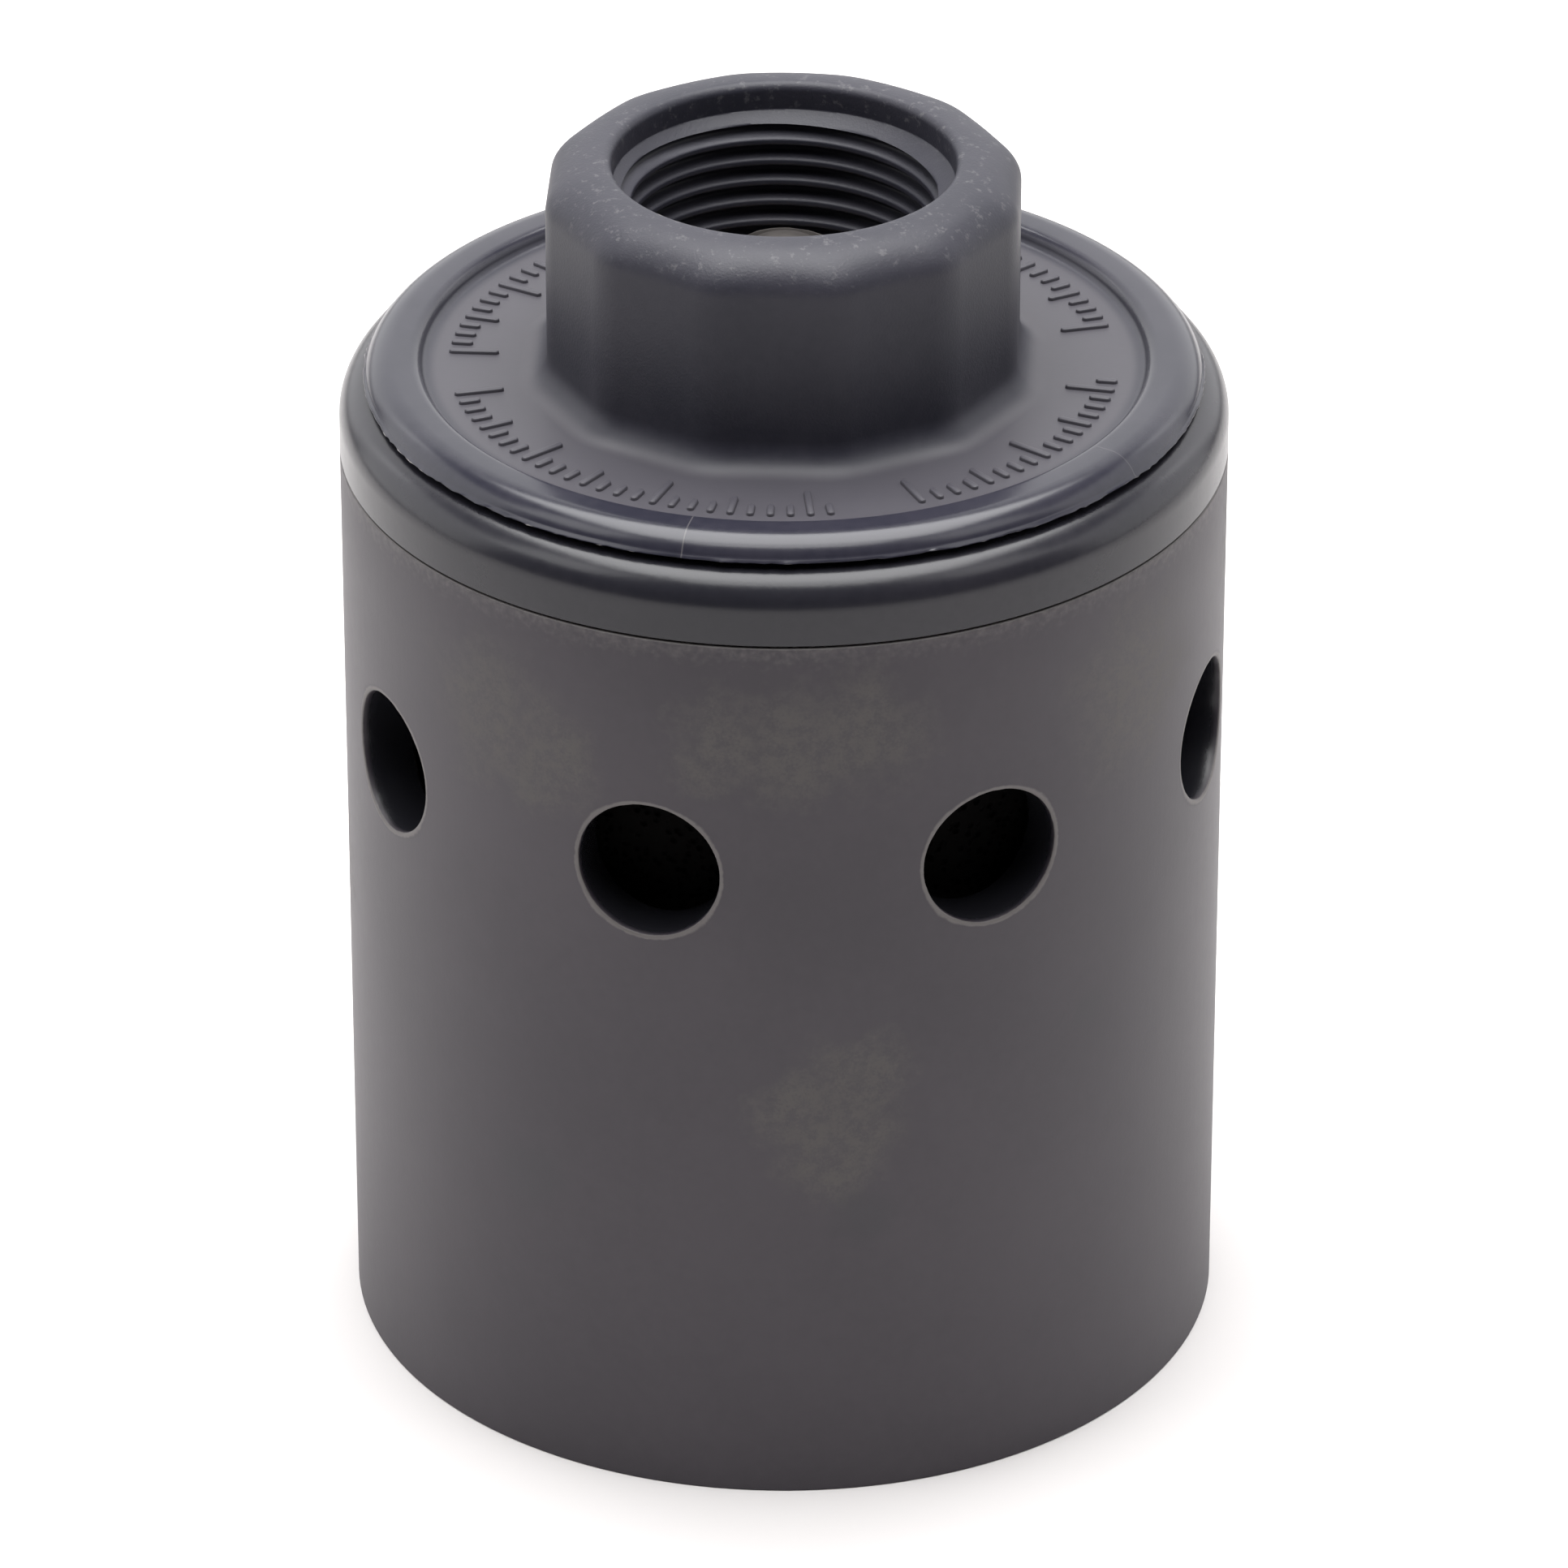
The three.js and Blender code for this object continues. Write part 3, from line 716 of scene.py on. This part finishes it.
def capRim(angles):
    # (radius, height, edge) of each ring over the rim, from the ragged flash under it to the sunk face
    flash, bead, recess = cap["flash"], cap["bead"], cap["recess"]
    radius, height = flash["radius"], flash["height"]
    around = [Vector((math.cos(a), math.sin(a), 0)) for a in angles]
    fine = np.array([noise.fractal(spot * flash["ripple"], 1.0, 2.0, 3) for spot in around])
    slow = np.array([noise.noise(spot * flash["slow"] + Vector((0, 0, 3))) for spot in around])
    lump = np.clip(0.55 + 0.8 * fine + 0.6 * slow, 0.05, 1.5)
    rings = [(radius - 0.96, cap["underside"], 0), (radius - 0.36, cap["underside"] + 0.02, 0)]
    rings += [(radius - 0.08, height - 0.08, 0.3)]
    rings += [(radius + flash["reach"] * lump, height - 0.05 * lump, np.clip(lump - 0.2, 0, 1))]
    rings += [(radius + 0.04 + 0.03 * lump, height + 0.1, 0.15 * lump)]
    for r, z in arc(bead["centre"], bead["top"] - bead["radius"], bead["radius"], 23, 90, 14):
        rings.append((r, z, 0))
    brow, foot, slope = recess["brow"], recess["foot"], recess["slope"]
    for r, z in arc(0, bead["top"] - 0.03 - brow, brow, 90, 90 - slope, 9):
        rings.append((recess["browCentre"] - r, z, 0))
    for r, z in arc(recess["footCentre"], cap["face"] + foot, foot, slope - 90, -90, 7):
        rings.append((r, z, 0))
    return rings + [(r, cap["face"], 0) for r in (33.8, 31.5, 29.5)]


def capBoss(outline):
    # rings up the boss, over its crown and down to the start of the thread
    boss, mouth = cap["boss"], cap["mouth"]
    fillet, lip, crown = boss["fillet"], mouth["lip"], boss["crown"]
    low, high = cap["face"] + fillet, cap["top"] - crown
    rings = []
    for a in np.radians(np.linspace(90, 0, 10)):
        rings.append((outline + fillet * (1 - math.cos(a)), low - fillet * math.sin(a), 0))
    rings += [(outline, low + (high - low) * t, 0) for t in (0.3, 0.6, 0.85)]
    # the crown starts twelve-sided, evens out and rolls over to the round lip of the mouth
    lipOuter = mouth["radius"] + lip + mouth["lipFlat"]
    for a in np.radians(np.linspace(0, 90, 22)):
        wall = outline + (np.mean(outline) - outline) * boss["crownEven"] * math.sin(a) ** 3
        rings.append((wall - (wall - lipOuter) * (1 - math.cos(a)), high + crown * math.sin(a), 0))
    rings += [(r, z, 0) for r, z in arc(mouth["radius"] + lip, cap["top"] - lip, lip, 90, 180, 8)]
    return rings + [(mouth["radius"], cap["top"] - mouth["depth"] + up, 0) for up in (0.9, 0.3, 0.1, 0)]


def capBody():
    steps, low = cap["steps"], cap["thread"]["end"]
    angles = np.arange(steps) * full / steps
    rings = capRim(angles) + capBoss(bossOutline(angles))
    rows = [ringAt(radius, z, angles) for radius, z, edge in rings]
    skin = Skin()
    skin.rows(rows, [edge for radius, z, edge in rings])
    threadWall(skin)
    inner = [(threadRadius(0, low), low)] + cap["inside"]
    skin.rows([circle(r, z, steps) for r, z in inner] + [rows[0]])
    return skin.build("inletCap", "cap", 60)


settle(capBody(), "housing", "moulded_plastic", "inlet_cap")
print("inlet cap ready")


# raised marks on the cap face
faceMarks = {
    "middle": 31.0,
    "width": 0.72,
    "pitch": 3.4,
    "groups": [(-149.5, -64.5), (-48.5, 12), (31, 195)],
    # kinds in turn along each group: length and how far out of the middle each bar lies
    "pattern": [(5.0, 0), (2.2, 1.4), (2.2, 1.4), (2.2, 1.4), (3.6, 0.7), (2.2, 1.4), (2.2, 1.4), (2.2, 1.4)],
    # share of the width at each height over the face
    "layers": [(1.12, -0.08), (1.0, 0.06), (0.97, 0.2108), (0.84, 0.306), (0.62, 0.34)],
}


def addBar(work, turn, length, shift):
    # a soft-topped bar that lies along the radius, sunk a little into the face
    side = faceMarks["width"] / 2
    ends = [(length / 2 - side, -90), (side - length / 2, 90)]
    spin = Matrix.Rotation(turn, 4, "Z")
    rings = []
    for share, rise in faceMarks["layers"]:
        ring = []
        for middle, first in ends:
            for x, y in arc(faceMarks["middle"] + shift + middle, 0, side * share, first, first + 180, 6):
                ring.append(work.verts.new(spin @ Vector((x, y, cap["face"] + rise)) * mm))
        rings.append(ring)
    for lower, upper in zip(rings, rings[1:]):
        for i in range(len(lower)):
            k = (i + 1) % len(lower)
            work.faces.new([lower[i], lower[k], upper[k], upper[i]])
    work.faces.new(rings[-1])
    work.faces.new(rings[0][::-1])


def raisedMarks():
    work = bmesh.new()
    pitch, pattern = faceMarks["pitch"], faceMarks["pattern"]
    for first, last in faceMarks["groups"]:
        for i in range(int((last - first) / pitch) + 1):
            length, shift = pattern[i % len(pattern)]
            addBar(work, math.radians(first + i * pitch), length, shift)
    bmesh.ops.recalc_face_normals(work, faces=work.faces)
    return solid(work, "raisedMarks", "cap", 50)


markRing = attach(raisedMarks(), "housing")
print("marks ready")


# tools for the pieces inside
def combine(piece, other, operation):
    # joins or cuts two solids, keeps the result as the first one's mesh and removes the second
    step = piece.modifiers.new("combine", "BOOLEAN")
    step.operation = operation
    step.object = other
    step.solver = "EXACT"
    bpy.context.view_layer.update()
    result = bpy.data.meshes.new_from_object(piece.evaluated_get(bpy.context.evaluated_depsgraph_get()))
    piece.modifiers.remove(step)
    old, piece.data = piece.data, result
    bpy.data.meshes.remove(old)
    bpy.data.objects.remove(other)
    smooth(result)
    return piece


def placeAlong(axis, spot):
    # a matrix that puts +Z of a small piece along an axis, at a spot in millimetres
    return Matrix.Translation(Vector(spot) * mm) @ Vector(axis).to_track_quat("Z", "Y").to_matrix().to_4x4()


def drilled(piece, radius, holes):
    # cuts round holes, given by their two ends, out of a piece
    for start, end in holes:
        start, end = Vector(start), Vector(end)
        work = bmesh.new()
        bmesh.ops.create_cone(work, cap_ends=True, segments=32, radius1=radius * mm, radius2=radius * mm,
                              depth=(end - start).length * mm)
        bmesh.ops.transform(work, matrix=placeAlong(end - start, (start + end) / 2), verts=work.verts)
        combine(piece, solid(work, "cutter"), "DIFFERENCE")
    return piece


def around(count, radius, start=0.0):
    turns = [start + i * full / count for i in range(count)]
    return [(radius * math.cos(turn), radius * math.sin(turn)) for turn in turns]


def hexRadius(angles, acrossFlats):
    turn = np.mod(angles, full / 6) - full / 12
    return acrossFlats / 2 / np.cos(turn)


def threadedRod(radius, low, high, pitch=0.8, depth=0.3):
    # profile points up a rod with fine thread grooves
    points, z = [], low
    while z + pitch < high:
        points += [(radius, z), (radius, z + pitch * 0.25), (radius - depth, z + pitch * 0.6)]
        z += pitch
    return points + [(radius, z), (radius, high)]


# pieces turned from a profile of (radius, z), and the two nuts of the stem
stemProfile = [(0, 60), (2.2, 60)] + threadedRod(3.0, 60.8, 84)
stemProfile += [(3.0, 92.7), (4.4, 92.7), (4.4, 93.7), (3.0, 93.7)]
stemProfile += threadedRod(3.0, 106, 115.4) + [(2.4, 116), (0, 116)]
discProfile = [(3.3, 82.7), (5.4, 82.7), (6, 83.3), (6, 85.2), (14.7, 85.2), (16, 86.5), (16, 88.7)]
discProfile += [(12, 88.7), (3.3, 88.7)]
baseProfile = [(0, 4.3), (5.5, 4.3), (6, 4.8), (27, 4.8), (28, 4.3), (37.9, 4.3), (38.5, 4.9), (38.5, 5.7)]
baseProfile += [(36.6, 5.7), (36.6, 7.7), (38.5, 7.7), (38.5, 9), (0, 9)]
nut = {"acrossFlats": 10, "bore": 3.3, "crown": 5.1, "chamferOut": 0.8, "chamferUp": 0.45, "steps": 96}


def bushProfile(bottom, low):
    return [(3.1, bottom), (4.2, bottom), (4.2, low), (5.6, low), (5.6, low + 0.8), (3.1, low + 0.8)]


def ringProfile(inner, outer, bottom, top):
    return [(inner, bottom), (outer, bottom), (outer, top), (inner, top)]


turnedPieces = [
    # name, CAD node, body, slot, finish, rounding, profile
    ("upperBush", "guide_bush", "housing", "bush_brass", "brass", 0.15, bushProfile(95.0, 102.6)),
    ("lowerBush", "lower_bush", "housing", "bush_brass", "brass", 0.15, bushProfile(47.0, 61.9)),
    ("poppetStem", "poppet_stem", "poppet", "steel", "steel", 0.08, stemProfile),
    ("poppetDisc", "poppet_disc", "poppet", "white_plastic", "white", 0.3, discProfile),
    ("poppetSeal", "poppet_seal", "poppet", "seal_rubber", "rubber", 0.35, ringProfile(3.3, 15.4, 89, 90.6)),
    ("sealRetainer", "seal_retainer", "poppet", "steel", "steel", 0.25, ringProfile(3.3, 10.8, 90.9, 92.4)),
    ("stopWasher", "stem_stop_washer", "poppet", "steel", "steel", 0.2, ringProfile(3.3, 6, 111.2, 112.3)),
    ("basePlate", "base_plate", "housing", "pipe_plastic", "base", 0.25, baseProfile),
    ("acousticPad", "acoustic_pad", "housing", "grey_felt", "felt", 0.5, ringProfile(0, 37.1, 9.4, 12.2)),
]
for name, node, body, slot, finish, rounding, profile in turnedPieces:
    settle(turnedPiece(name, profile, finish, rounding), body, slot, node)


def hexNut(name, finish, bottom, top, dome=None):
    # a plain nut, or one closed by a dome of (foot radius, radius, height of its tip)
    steps, bore = nut["steps"], nut["bore"]
    angles = np.arange(steps) * full / steps
    flats = hexRadius(angles, nut["acrossFlats"])
    crown = nut["crown"]
    quarters = (0, 0.25, 0.5, 0.75, 1)
    rings = [(bore, bottom)]
    for t in quarters:
        rings.append((np.minimum(flats, crown + t * nut["chamferOut"]), bottom + t * nut["chamferUp"]))
    for t in quarters[::-1]:
        rings.append((np.minimum(flats, crown + t * nut["chamferOut"]), top - t * nut["chamferUp"]))
    skin = Skin()
    if dome:
        foot, radius, tip = dome
        first = math.degrees(math.acos(foot / radius))
        rings += [(foot + 0.25, top)] + arc(0, tip - radius, radius, first, 88, 10)
        well = [circle(bore, bottom, steps), circle(bore, top + 0.6, steps)]
        skin.rows(well)
        skin.close(well[1], (0, 0, top + 1.2))
        skin.close(ringAt(*rings[-1], angles), (0, 0, tip))
    else:
        rings += [(bore, top), (bore, bottom)]
    skin.rows([ringAt(radius, z, angles) for radius, z in rings])
    return skin.build(name, finish)


settle(hexNut("stemLockNut", "steel", 79, 82.4), "poppet", "steel", "stem_lock_nut")
domeNut = hexNut("stemDomeNut", "dullSteel", 112.6, 117.5, (4.7, 6.6, 119.0))
settle(domeNut, "poppet", "steel", "stem_dome_nut")
print("turned pieces ready")


# O-ring and snap ring at the base
baseRing = {"middle": 37.75, "height": 6.7, "radius": 0.82, "steps": 160}
snapRing = {
    "inner": 36.2,
    "outer": 40.3,
    "bottom": 2.5,
    "top": 3.9,
    "gap": 18.4,
    "soft": 0.25,
    "steps": 180,
    "lug": 1.1,
    "lugLength": 6,
    "middle": 38,
    "holeCircle": 37.0,
    "holeRadius": 0.95,
    "holeTurn": 0.055,
}


def baseSeal():
    skin = Skin()
    section = arc(baseRing["middle"], baseRing["height"], baseRing["radius"], 0, 360, 24)
    skin.rows([circle(r, z, baseRing["steps"]) for r, z in section])
    return skin.build("baseSeal", "rubber")


def snapRingPiece():
    # an open ring with a plier hole in each of its wider ends
    gap = math.radians(snapRing["gap"]) / 2
    bottom, top = snapRing["bottom"], snapRing["top"]
    rows = []
    for turn in np.linspace(gap, full - gap, snapRing["steps"]):
        fromEnd = min(turn - gap, full - gap - turn) * snapRing["middle"]
        lug = snapRing["lug"] * max(0.0, 1 - (fromEnd / snapRing["lugLength"]) ** 2)
        box = ringProfile(snapRing["inner"] - lug, snapRing["outer"], bottom, top)
        radii, heights = np.array(softened(box, snapRing["soft"])).T
        rows.append(ringAt(radii, heights, np.full(len(radii), turn - math.pi / 2)))
    skin = Skin()
    skin.rows(rows)
    for row in (rows[0], rows[-1]):
        skin.close(row, tuple(row.mean(0)))
    holes = []
    for side in (1, -1):
        turn = side * (gap + snapRing["holeTurn"]) - math.pi / 2
        x, y = snapRing["holeCircle"] * math.cos(turn), snapRing["holeCircle"] * math.sin(turn)
        holes.append(((x, y, bottom - 1.5), (x, y, top + 1.5)))
    return drilled(skin.build("snapRing", "steel"), snapRing["holeRadius"], holes)


settle(baseSeal(), "housing", "seal_rubber", "base_o_ring")
settle(snapRingPiece(), "housing", "steel", "base_snap_ring")
print("base rings ready")


# return spring
coil = {
    "mean": 8.5,
    "wire": 0.8,
    "bottom": 62.8,
    "top": 84.9,
    "turns": 5.5,
    "perTurn": 40,
    "sides": 14,
    "closedPitch": 0.34,  # at the very end, as a share of the open pitch
    "ease": 2.86,  # how fast it opens
    "squeezed": 0.661,
}


def returnSpring():
    # round wire whose pitch eases towards the wire's own thickness at each end
    steps = int(coil["turns"] * coil["perTurn"])
    low, high = coil["bottom"] + coil["wire"], coil["top"] - coil["wire"]
    fromEnd = np.minimum(np.arange(steps + 1), np.arange(steps + 1)[::-1]) / steps
    pitch = np.minimum(1.0, coil["closedPitch"] + coil["ease"] * fromEnd)
    climb = np.concatenate([[0], np.cumsum((pitch[1:] + pitch[:-1]) / 2)])
    spots = []
    for i, z in enumerate(low + (high - low) * climb / climb[-1]):
        turn = full * coil["turns"] * i / steps
        spots.append(Vector((coil["mean"] * math.cos(turn), coil["mean"] * math.sin(turn), z)))
    rows = []
    for i, spot in enumerate(spots):
        ahead = (spots[min(i + 1, steps)] - spots[max(i - 1, 0)]).normalized()
        out = Vector((spot.x, spot.y, 0)).normalized()
        up = ahead.cross(out).normalized()
        section = around(coil["sides"], coil["wire"])
        rows.append(np.array([tuple(spot + out * x + up * y) for x, y in section]))
    skin = Skin()
    skin.rows(rows)
    skin.close(rows[0], tuple(spots[0]))
    skin.close(rows[-1], tuple(spots[-1]))
    return skin.build("returnSpring", "wire")


springPiece = settle(returnSpring(), "housing", "spring_steel", "return_spring")
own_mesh(springPiece)
print("spring ready")


# screws: the seat's stand up from under it, and the others point in through the cage
seatScrew = {"head": 2.8, "headHeight": 1.9, "shank": 1.45, "length": 6.2, "socket": 2.5}
seatScrewPlace = {"circle": 19.5, "height": 90.9}
sideScrew = {"head": 2.2, "headHeight": 1.3, "shank": 1.2, "length": 5.8, "socket": 2.0}
sideScrewFace = 26.3
sideScrewRows = [("cageScrew", "diffuser_screw", 97.6), ("guideScrew", "guide_screw", 48)]


def socketScrew(name, screw, axis, spot):
    # built with the head below and the shank up +Z from zero, then put in place
    steps = 48
    head, bottom, shank, length = screw["head"], -screw["headHeight"], screw["shank"], screw["length"]
    profile = [(head - 0.25, bottom), (head - 0.07, bottom + 0.07), (head, bottom + 0.3), (head, -0.1)]
    profile += [(head - 0.1, 0), (shank, 0)] + threadedRod(shank, 0.5, length - 0.8, 0.6, 0.22)
    rows = [circle(r, z, steps) for r, z in profile + [(shank * 0.55, length)]]
    angles = np.arange(steps) * full / steps
    deep = bottom * 0.35
    well = [ringAt(hexRadius(angles, screw["socket"]), z, angles) for z in (deep, bottom)]
    skin = Skin()
    skin.rows(well + rows)
    skin.close(well[0], (0, 0, deep + 0.2))
    skin.close(rows[-1], (0, 0, length))
    piece = skin.build(name, "steel")
    piece.data.transform(placeAlong(axis, spot))
    return piece


def addScrews():
    for i, (x, y) in enumerate(around(4, seatScrewPlace["circle"], math.pi / 4)):
        piece = socketScrew(f"seatScrew{i + 1}", seatScrew, (0, 0, 1), (x, y, seatScrewPlace["height"]))
        settle(piece, "housing", "steel", f"seat_screw_{i + 1}")
    for label, node, z in sideScrewRows:
        for i, (x, y) in enumerate(around(3, sideScrewFace)):
            piece = socketScrew(f"{label}{i + 1}", sideScrew, (-x, -y, 0), (x, y, z))
            settle(piece, "housing", "steel", f"{node}_{i + 1}")


addScrews()
print("screws ready")


# seat, guides and cage
seat = {
    "profile": [(12.2, 90.9), (13.6, 90.9), (13.9, 91.2), (23.8, 91.2), (23.8, 93.7), (12.2, 93.7)],
    "holeRadius": 1.75,
    "through": (90, 95),
}
guide = {
    "profile": [
        (4.5, 46), (24.0, 46), (24.0, 50.4), (8.5, 50.4), (7.4, 51), (7, 52),
        (7, 60.5), (10.8, 60.5), (10.8, 62.5), (7, 62.5), (7, 61.6), (4.5, 61.6),
    ],
    "holeRadius": 1.5,
    "holeHeight": 48,
    "through": (20, 25),
}
spider = {
    "rim": (12.7, 14.7, 94.3, 100.7),
    "hub": (4.5, 6.4, 94.3, 102.3),
    "arms": 3,
    "armSize": (7.8, 2.2, 5),
    "armSoft": 0.45,
    "armMiddle": (9.7, 0, 96.8),
}
cage = {
    "radius": 26.0,
    "bore": 24.3,
    "bottom": 46.0,
    "top": 101.2,
    "soft": 0.15,
    "across": 8,
    "hole": {"count": 9, "radius": 2.4, "soft": 0.12},
    "first": 56.0,
    "pitch": 7.2,
    "rows": 5,
    "screwHole": {"count": 3, "radius": 1.5, "soft": 0.1},
    "lowScrews": (48.0, (46.3, 49.8)),  # height of the holes and of the band they are cut in
    "highScrews": (97.6, (95.0, 100.2)),
}


def seatRing():
    low, high = seat["through"]
    holes = [((x, y, low), (x, y, high)) for x, y in around(4, seatScrewPlace["circle"], math.pi / 4)]
    return drilled(turnedPiece("seatRing", seat["profile"], "brass", 0.2), seat["holeRadius"], holes)


def lowerGuide():
    z = guide["holeHeight"]
    inside, outside = (around(3, radius) for radius in guide["through"])
    holes = [((*start, z), (*end, z)) for start, end in zip(inside, outside)]
    return drilled(turnedPiece("lowerGuide", guide["profile"], "white", 0.25), guide["holeRadius"], holes)


def guideSpider():
    rim = turnedPiece("guideSpider", ringProfile(*spider["rim"]), "white", 0.2)
    combine(rim, turnedPiece("spiderHub", ringProfile(*spider["hub"]), "white", 0.25), "UNION")
    for i in range(spider["arms"]):
        work = bmesh.new()
        bmesh.ops.create_cube(work, size=1)
        bmesh.ops.scale(work, vec=Vector(spider["armSize"]) * mm, verts=work.verts)
        bmesh.ops.bevel(work, geom=work.edges, offset=spider["armSoft"] * mm, segments=3, affect="EDGES")
        turn = Matrix.Rotation(math.pi / 2 + i * full / spider["arms"], 4, "Z")
        spot = Matrix.Translation(Vector(spider["armMiddle"]) * mm)
        bmesh.ops.transform(work, matrix=turn @ spot, verts=work.verts)
        combine(rim, solid(work, "arm", "white"), "UNION")
    return rim


def diffuserTube():
    skin = Skin()
    outer, inner = cage["radius"], cage["bore"]
    steps = cage["hole"]["count"] * cage["across"]
    half = cage["pitch"] / 2

    def plain(profile):
        skin.rows([circle(r, z, steps, -full / cage["hole"]["count"] / 2) for r, z in profile])

    def row(hole, height, start, band, across):
        hole = {**hole, "height": height, "start": start}
        drillBand(skin, outer, hole, band, across)
        drillBand(skin, inner, hole, band, across)
        drillWalls(skin, outer, inner, hole, across)

    for i in range(cage["rows"]):
        height = cage["first"] + i * cage["pitch"]
        start = (i % 2) * full / cage["hole"]["count"] / 2
        row(cage["hole"], height, start, (height - half, height + half), cage["across"])
    for height, band in (cage["lowScrews"], cage["highScrews"]):
        row(cage["screwHole"], height, 0.0, band, steps // cage["screwHole"]["count"])
    lowEnd, lowBand = cage["lowScrews"][1]
    highBand, highEnd = cage["highScrews"][1]
    for radius in (outer, inner):
        plain([(radius, lowBand), (radius, cage["first"] - half)])
        plain([(radius, cage["first"] + (cage["rows"] - 0.5) * cage["pitch"]), (radius, highBand)])
    for z, end, soft in ((lowEnd, cage["bottom"], -cage["soft"]), (highEnd, cage["top"], cage["soft"])):
        out, back = outer - cage["soft"], inner + cage["soft"]
        plain([(outer, z), (outer, end - soft), (out, end), (back, end), (inner, end - soft), (inner, z)])
    return skin.build("diffuserTube", "white")


settle(seatRing(), "housing", "bush_brass", "seat_ring")
settle(lowerGuide(), "housing", "white_plastic", "lower_guide")
settle(guideSpider(), "housing", "white_plastic", "guide_spider")
settle(diffuserTube(), "housing", "white_plastic", "diffuser_tube")
print("cage ready")


# foam sleeve
sleeve = {
    "inner": 28.6,
    "outer": 37.1,
    "bottom": 12.7,
    "top": 85.3,
    "soft": 0.8,
    "steps": 180,
    "rows": 70,
    "rough": 0.32,
    "cells": (0.55, 1.3),  # coarse and fine, per millimetre
    "fill": 0.9,
}


def foamSection():
    inner, outer, bottom, top = sleeve["inner"], sleeve["outer"], sleeve["bottom"], sleeve["top"]
    soft, rows = sleeve["soft"], sleeve["rows"]
    section = [(outer, z) for z in np.linspace(bottom + soft, top - soft, rows)]
    section += arc(outer - soft, top - soft, soft, 20, 90, 3)
    section += [(r, top) for r in np.linspace(outer - 2 * soft, inner + 1, 7)]
    section += arc(inner + soft, top - soft, soft, 110, 180, 3)
    section += [(inner, z) for z in np.linspace(top - 2 * soft, bottom + 2 * soft, rows)]
    section += arc(inner + soft, bottom + soft, soft, 180, 250, 3)
    section += [(r, bottom) for r in np.linspace(inner + 1, outer - 2 * soft, 7)]
    return section + section[:1]


def foamSleeve():
    # an open-celled sleeve: every point of its surface is pushed in a little by cell-sized noise
    middleR, middleZ = (sleeve["inner"] + sleeve["outer"]) / 2, (sleeve["bottom"] + sleeve["top"]) / 2
    endZone = middleZ - sleeve["bottom"] - 1.3
    coarse, fine = sleeve["cells"]
    rows = []
    for r, z in foamSection():
        ring = circle(r, z, sleeve["steps"])
        outwards = 1 if r > middleR else -1
        upwards = (1 if z > middleZ else -1) * (abs(z - middleZ) > endZone)
        for spot in ring:
            cell = abs(noise.noise(Vector(spot) * coarse)) + 0.5 * abs(noise.noise(Vector(spot) * fine))
            push = sleeve["rough"] * min(cell * 1.6, 1)
            spot[:2] *= 1 - push * outwards / r
            spot[2] -= push * 0.5 * upwards
        rows.append(ring)
    skin = Skin()
    skin.rows(rows)
    return skin.build("foamSleeve", "foam", 180)


settle(foamSleeve(), "housing", "black_foam", "acoustic_sleeve")
print("foam ready")


# studio
studio = {
    "floor": (0.71, 0.69, 0.685),
    "floorShade": (0.68, 0.66, 0.655),
    "reach": 0.75,
    "world": 0.05,
    "backdrop": 1.0,
    "aimHeight": 0.07,
    "power": 4,  # watts for each square metre of lamp at brightness 1
    "lamps": [
        # name, turn from the camera, distance, height, width, depth, brightness
        ("overhead", 180, 0.12, 1.10, 1.08, 0.9, 6.3),
        ("frontTop", 0, 0.42, 1.05, 0.7, 0.16, 5.0),
        ("leftTop", -68, 0.78, 0.85, 0.5, 0.4, 2.3),
        ("rightTop", 62, 0.78, 0.85, 0.45, 0.4, 1.6),
        ("behind", 180, 1.05, 0.55, 2.4, 1.1, 1.2),
        ("leftBox", -105, 1.0, 0.40, 1.0, 0.8, 1.35),
        ("rightBox", 105, 1.0, 0.40, 1.0, 0.8, 1.1),
    ],
}


def addBackdrop():
    # looks pale to the camera and gives the object little light
    world = bpy.data.worlds.new("studio")
    bpy.context.scene.world = world
    world.use_nodes = True
    nodes, links = world.node_tree.nodes, world.node_tree.links
    background = nodes["Background"]
    background.inputs["Color"].default_value = (1, 1, 1, 1)
    rays = nodes.new("ShaderNodeLightPath")
    strength = nodes.new("ShaderNodeMapRange")
    strength.inputs["To Min"].default_value = studio["world"]
    strength.inputs["To Max"].default_value = studio["backdrop"]
    links.new(rays.outputs["Is Camera Ray"], strength.inputs["Value"])
    links.new(strength.outputs["Result"], background.inputs["Strength"])


def addFloor():
    reach = studio["reach"]
    corners = [(-reach, -reach, 0), (reach, -reach, 0), (reach, reach, 0), (-reach, reach, 0)]
    mesh = bpy.data.meshes.new("floor")
    mesh.from_pydata(corners, [], [(0, 1, 2, 3)])
    linked("floor", mesh)
    paint = Paint("floorPaper", Roughness=0.9, Specular_IOR_Level=0.0)
    shade = paint.noise(3, 2) * 0.1
    paint.set("Base Color", paint.mix(shade, studio["floor"], studio["floorShade"]))
    mesh.materials.append(paint.material)


def addLamps():
    for name, turn, distance, height, width, depth, brightness in studio["lamps"]:
        lamp = bpy.data.lights.new(name, "AREA")
        lamp.shape = "RECTANGLE"
        lamp.size = width
        lamp.size_y = depth
        lamp.energy = studio["power"] * width * depth * brightness
        angle = math.radians(view["turn"] + turn)
        spot = Vector((distance * math.cos(angle), distance * math.sin(angle), height))
        point(linked(name, lamp), spot, Vector((0, 0, studio["aimHeight"])) - spot)


bpy.context.scene.view_settings.view_transform = "Standard"
addBackdrop()
addFloor()
addLamps()
print("studio ready")
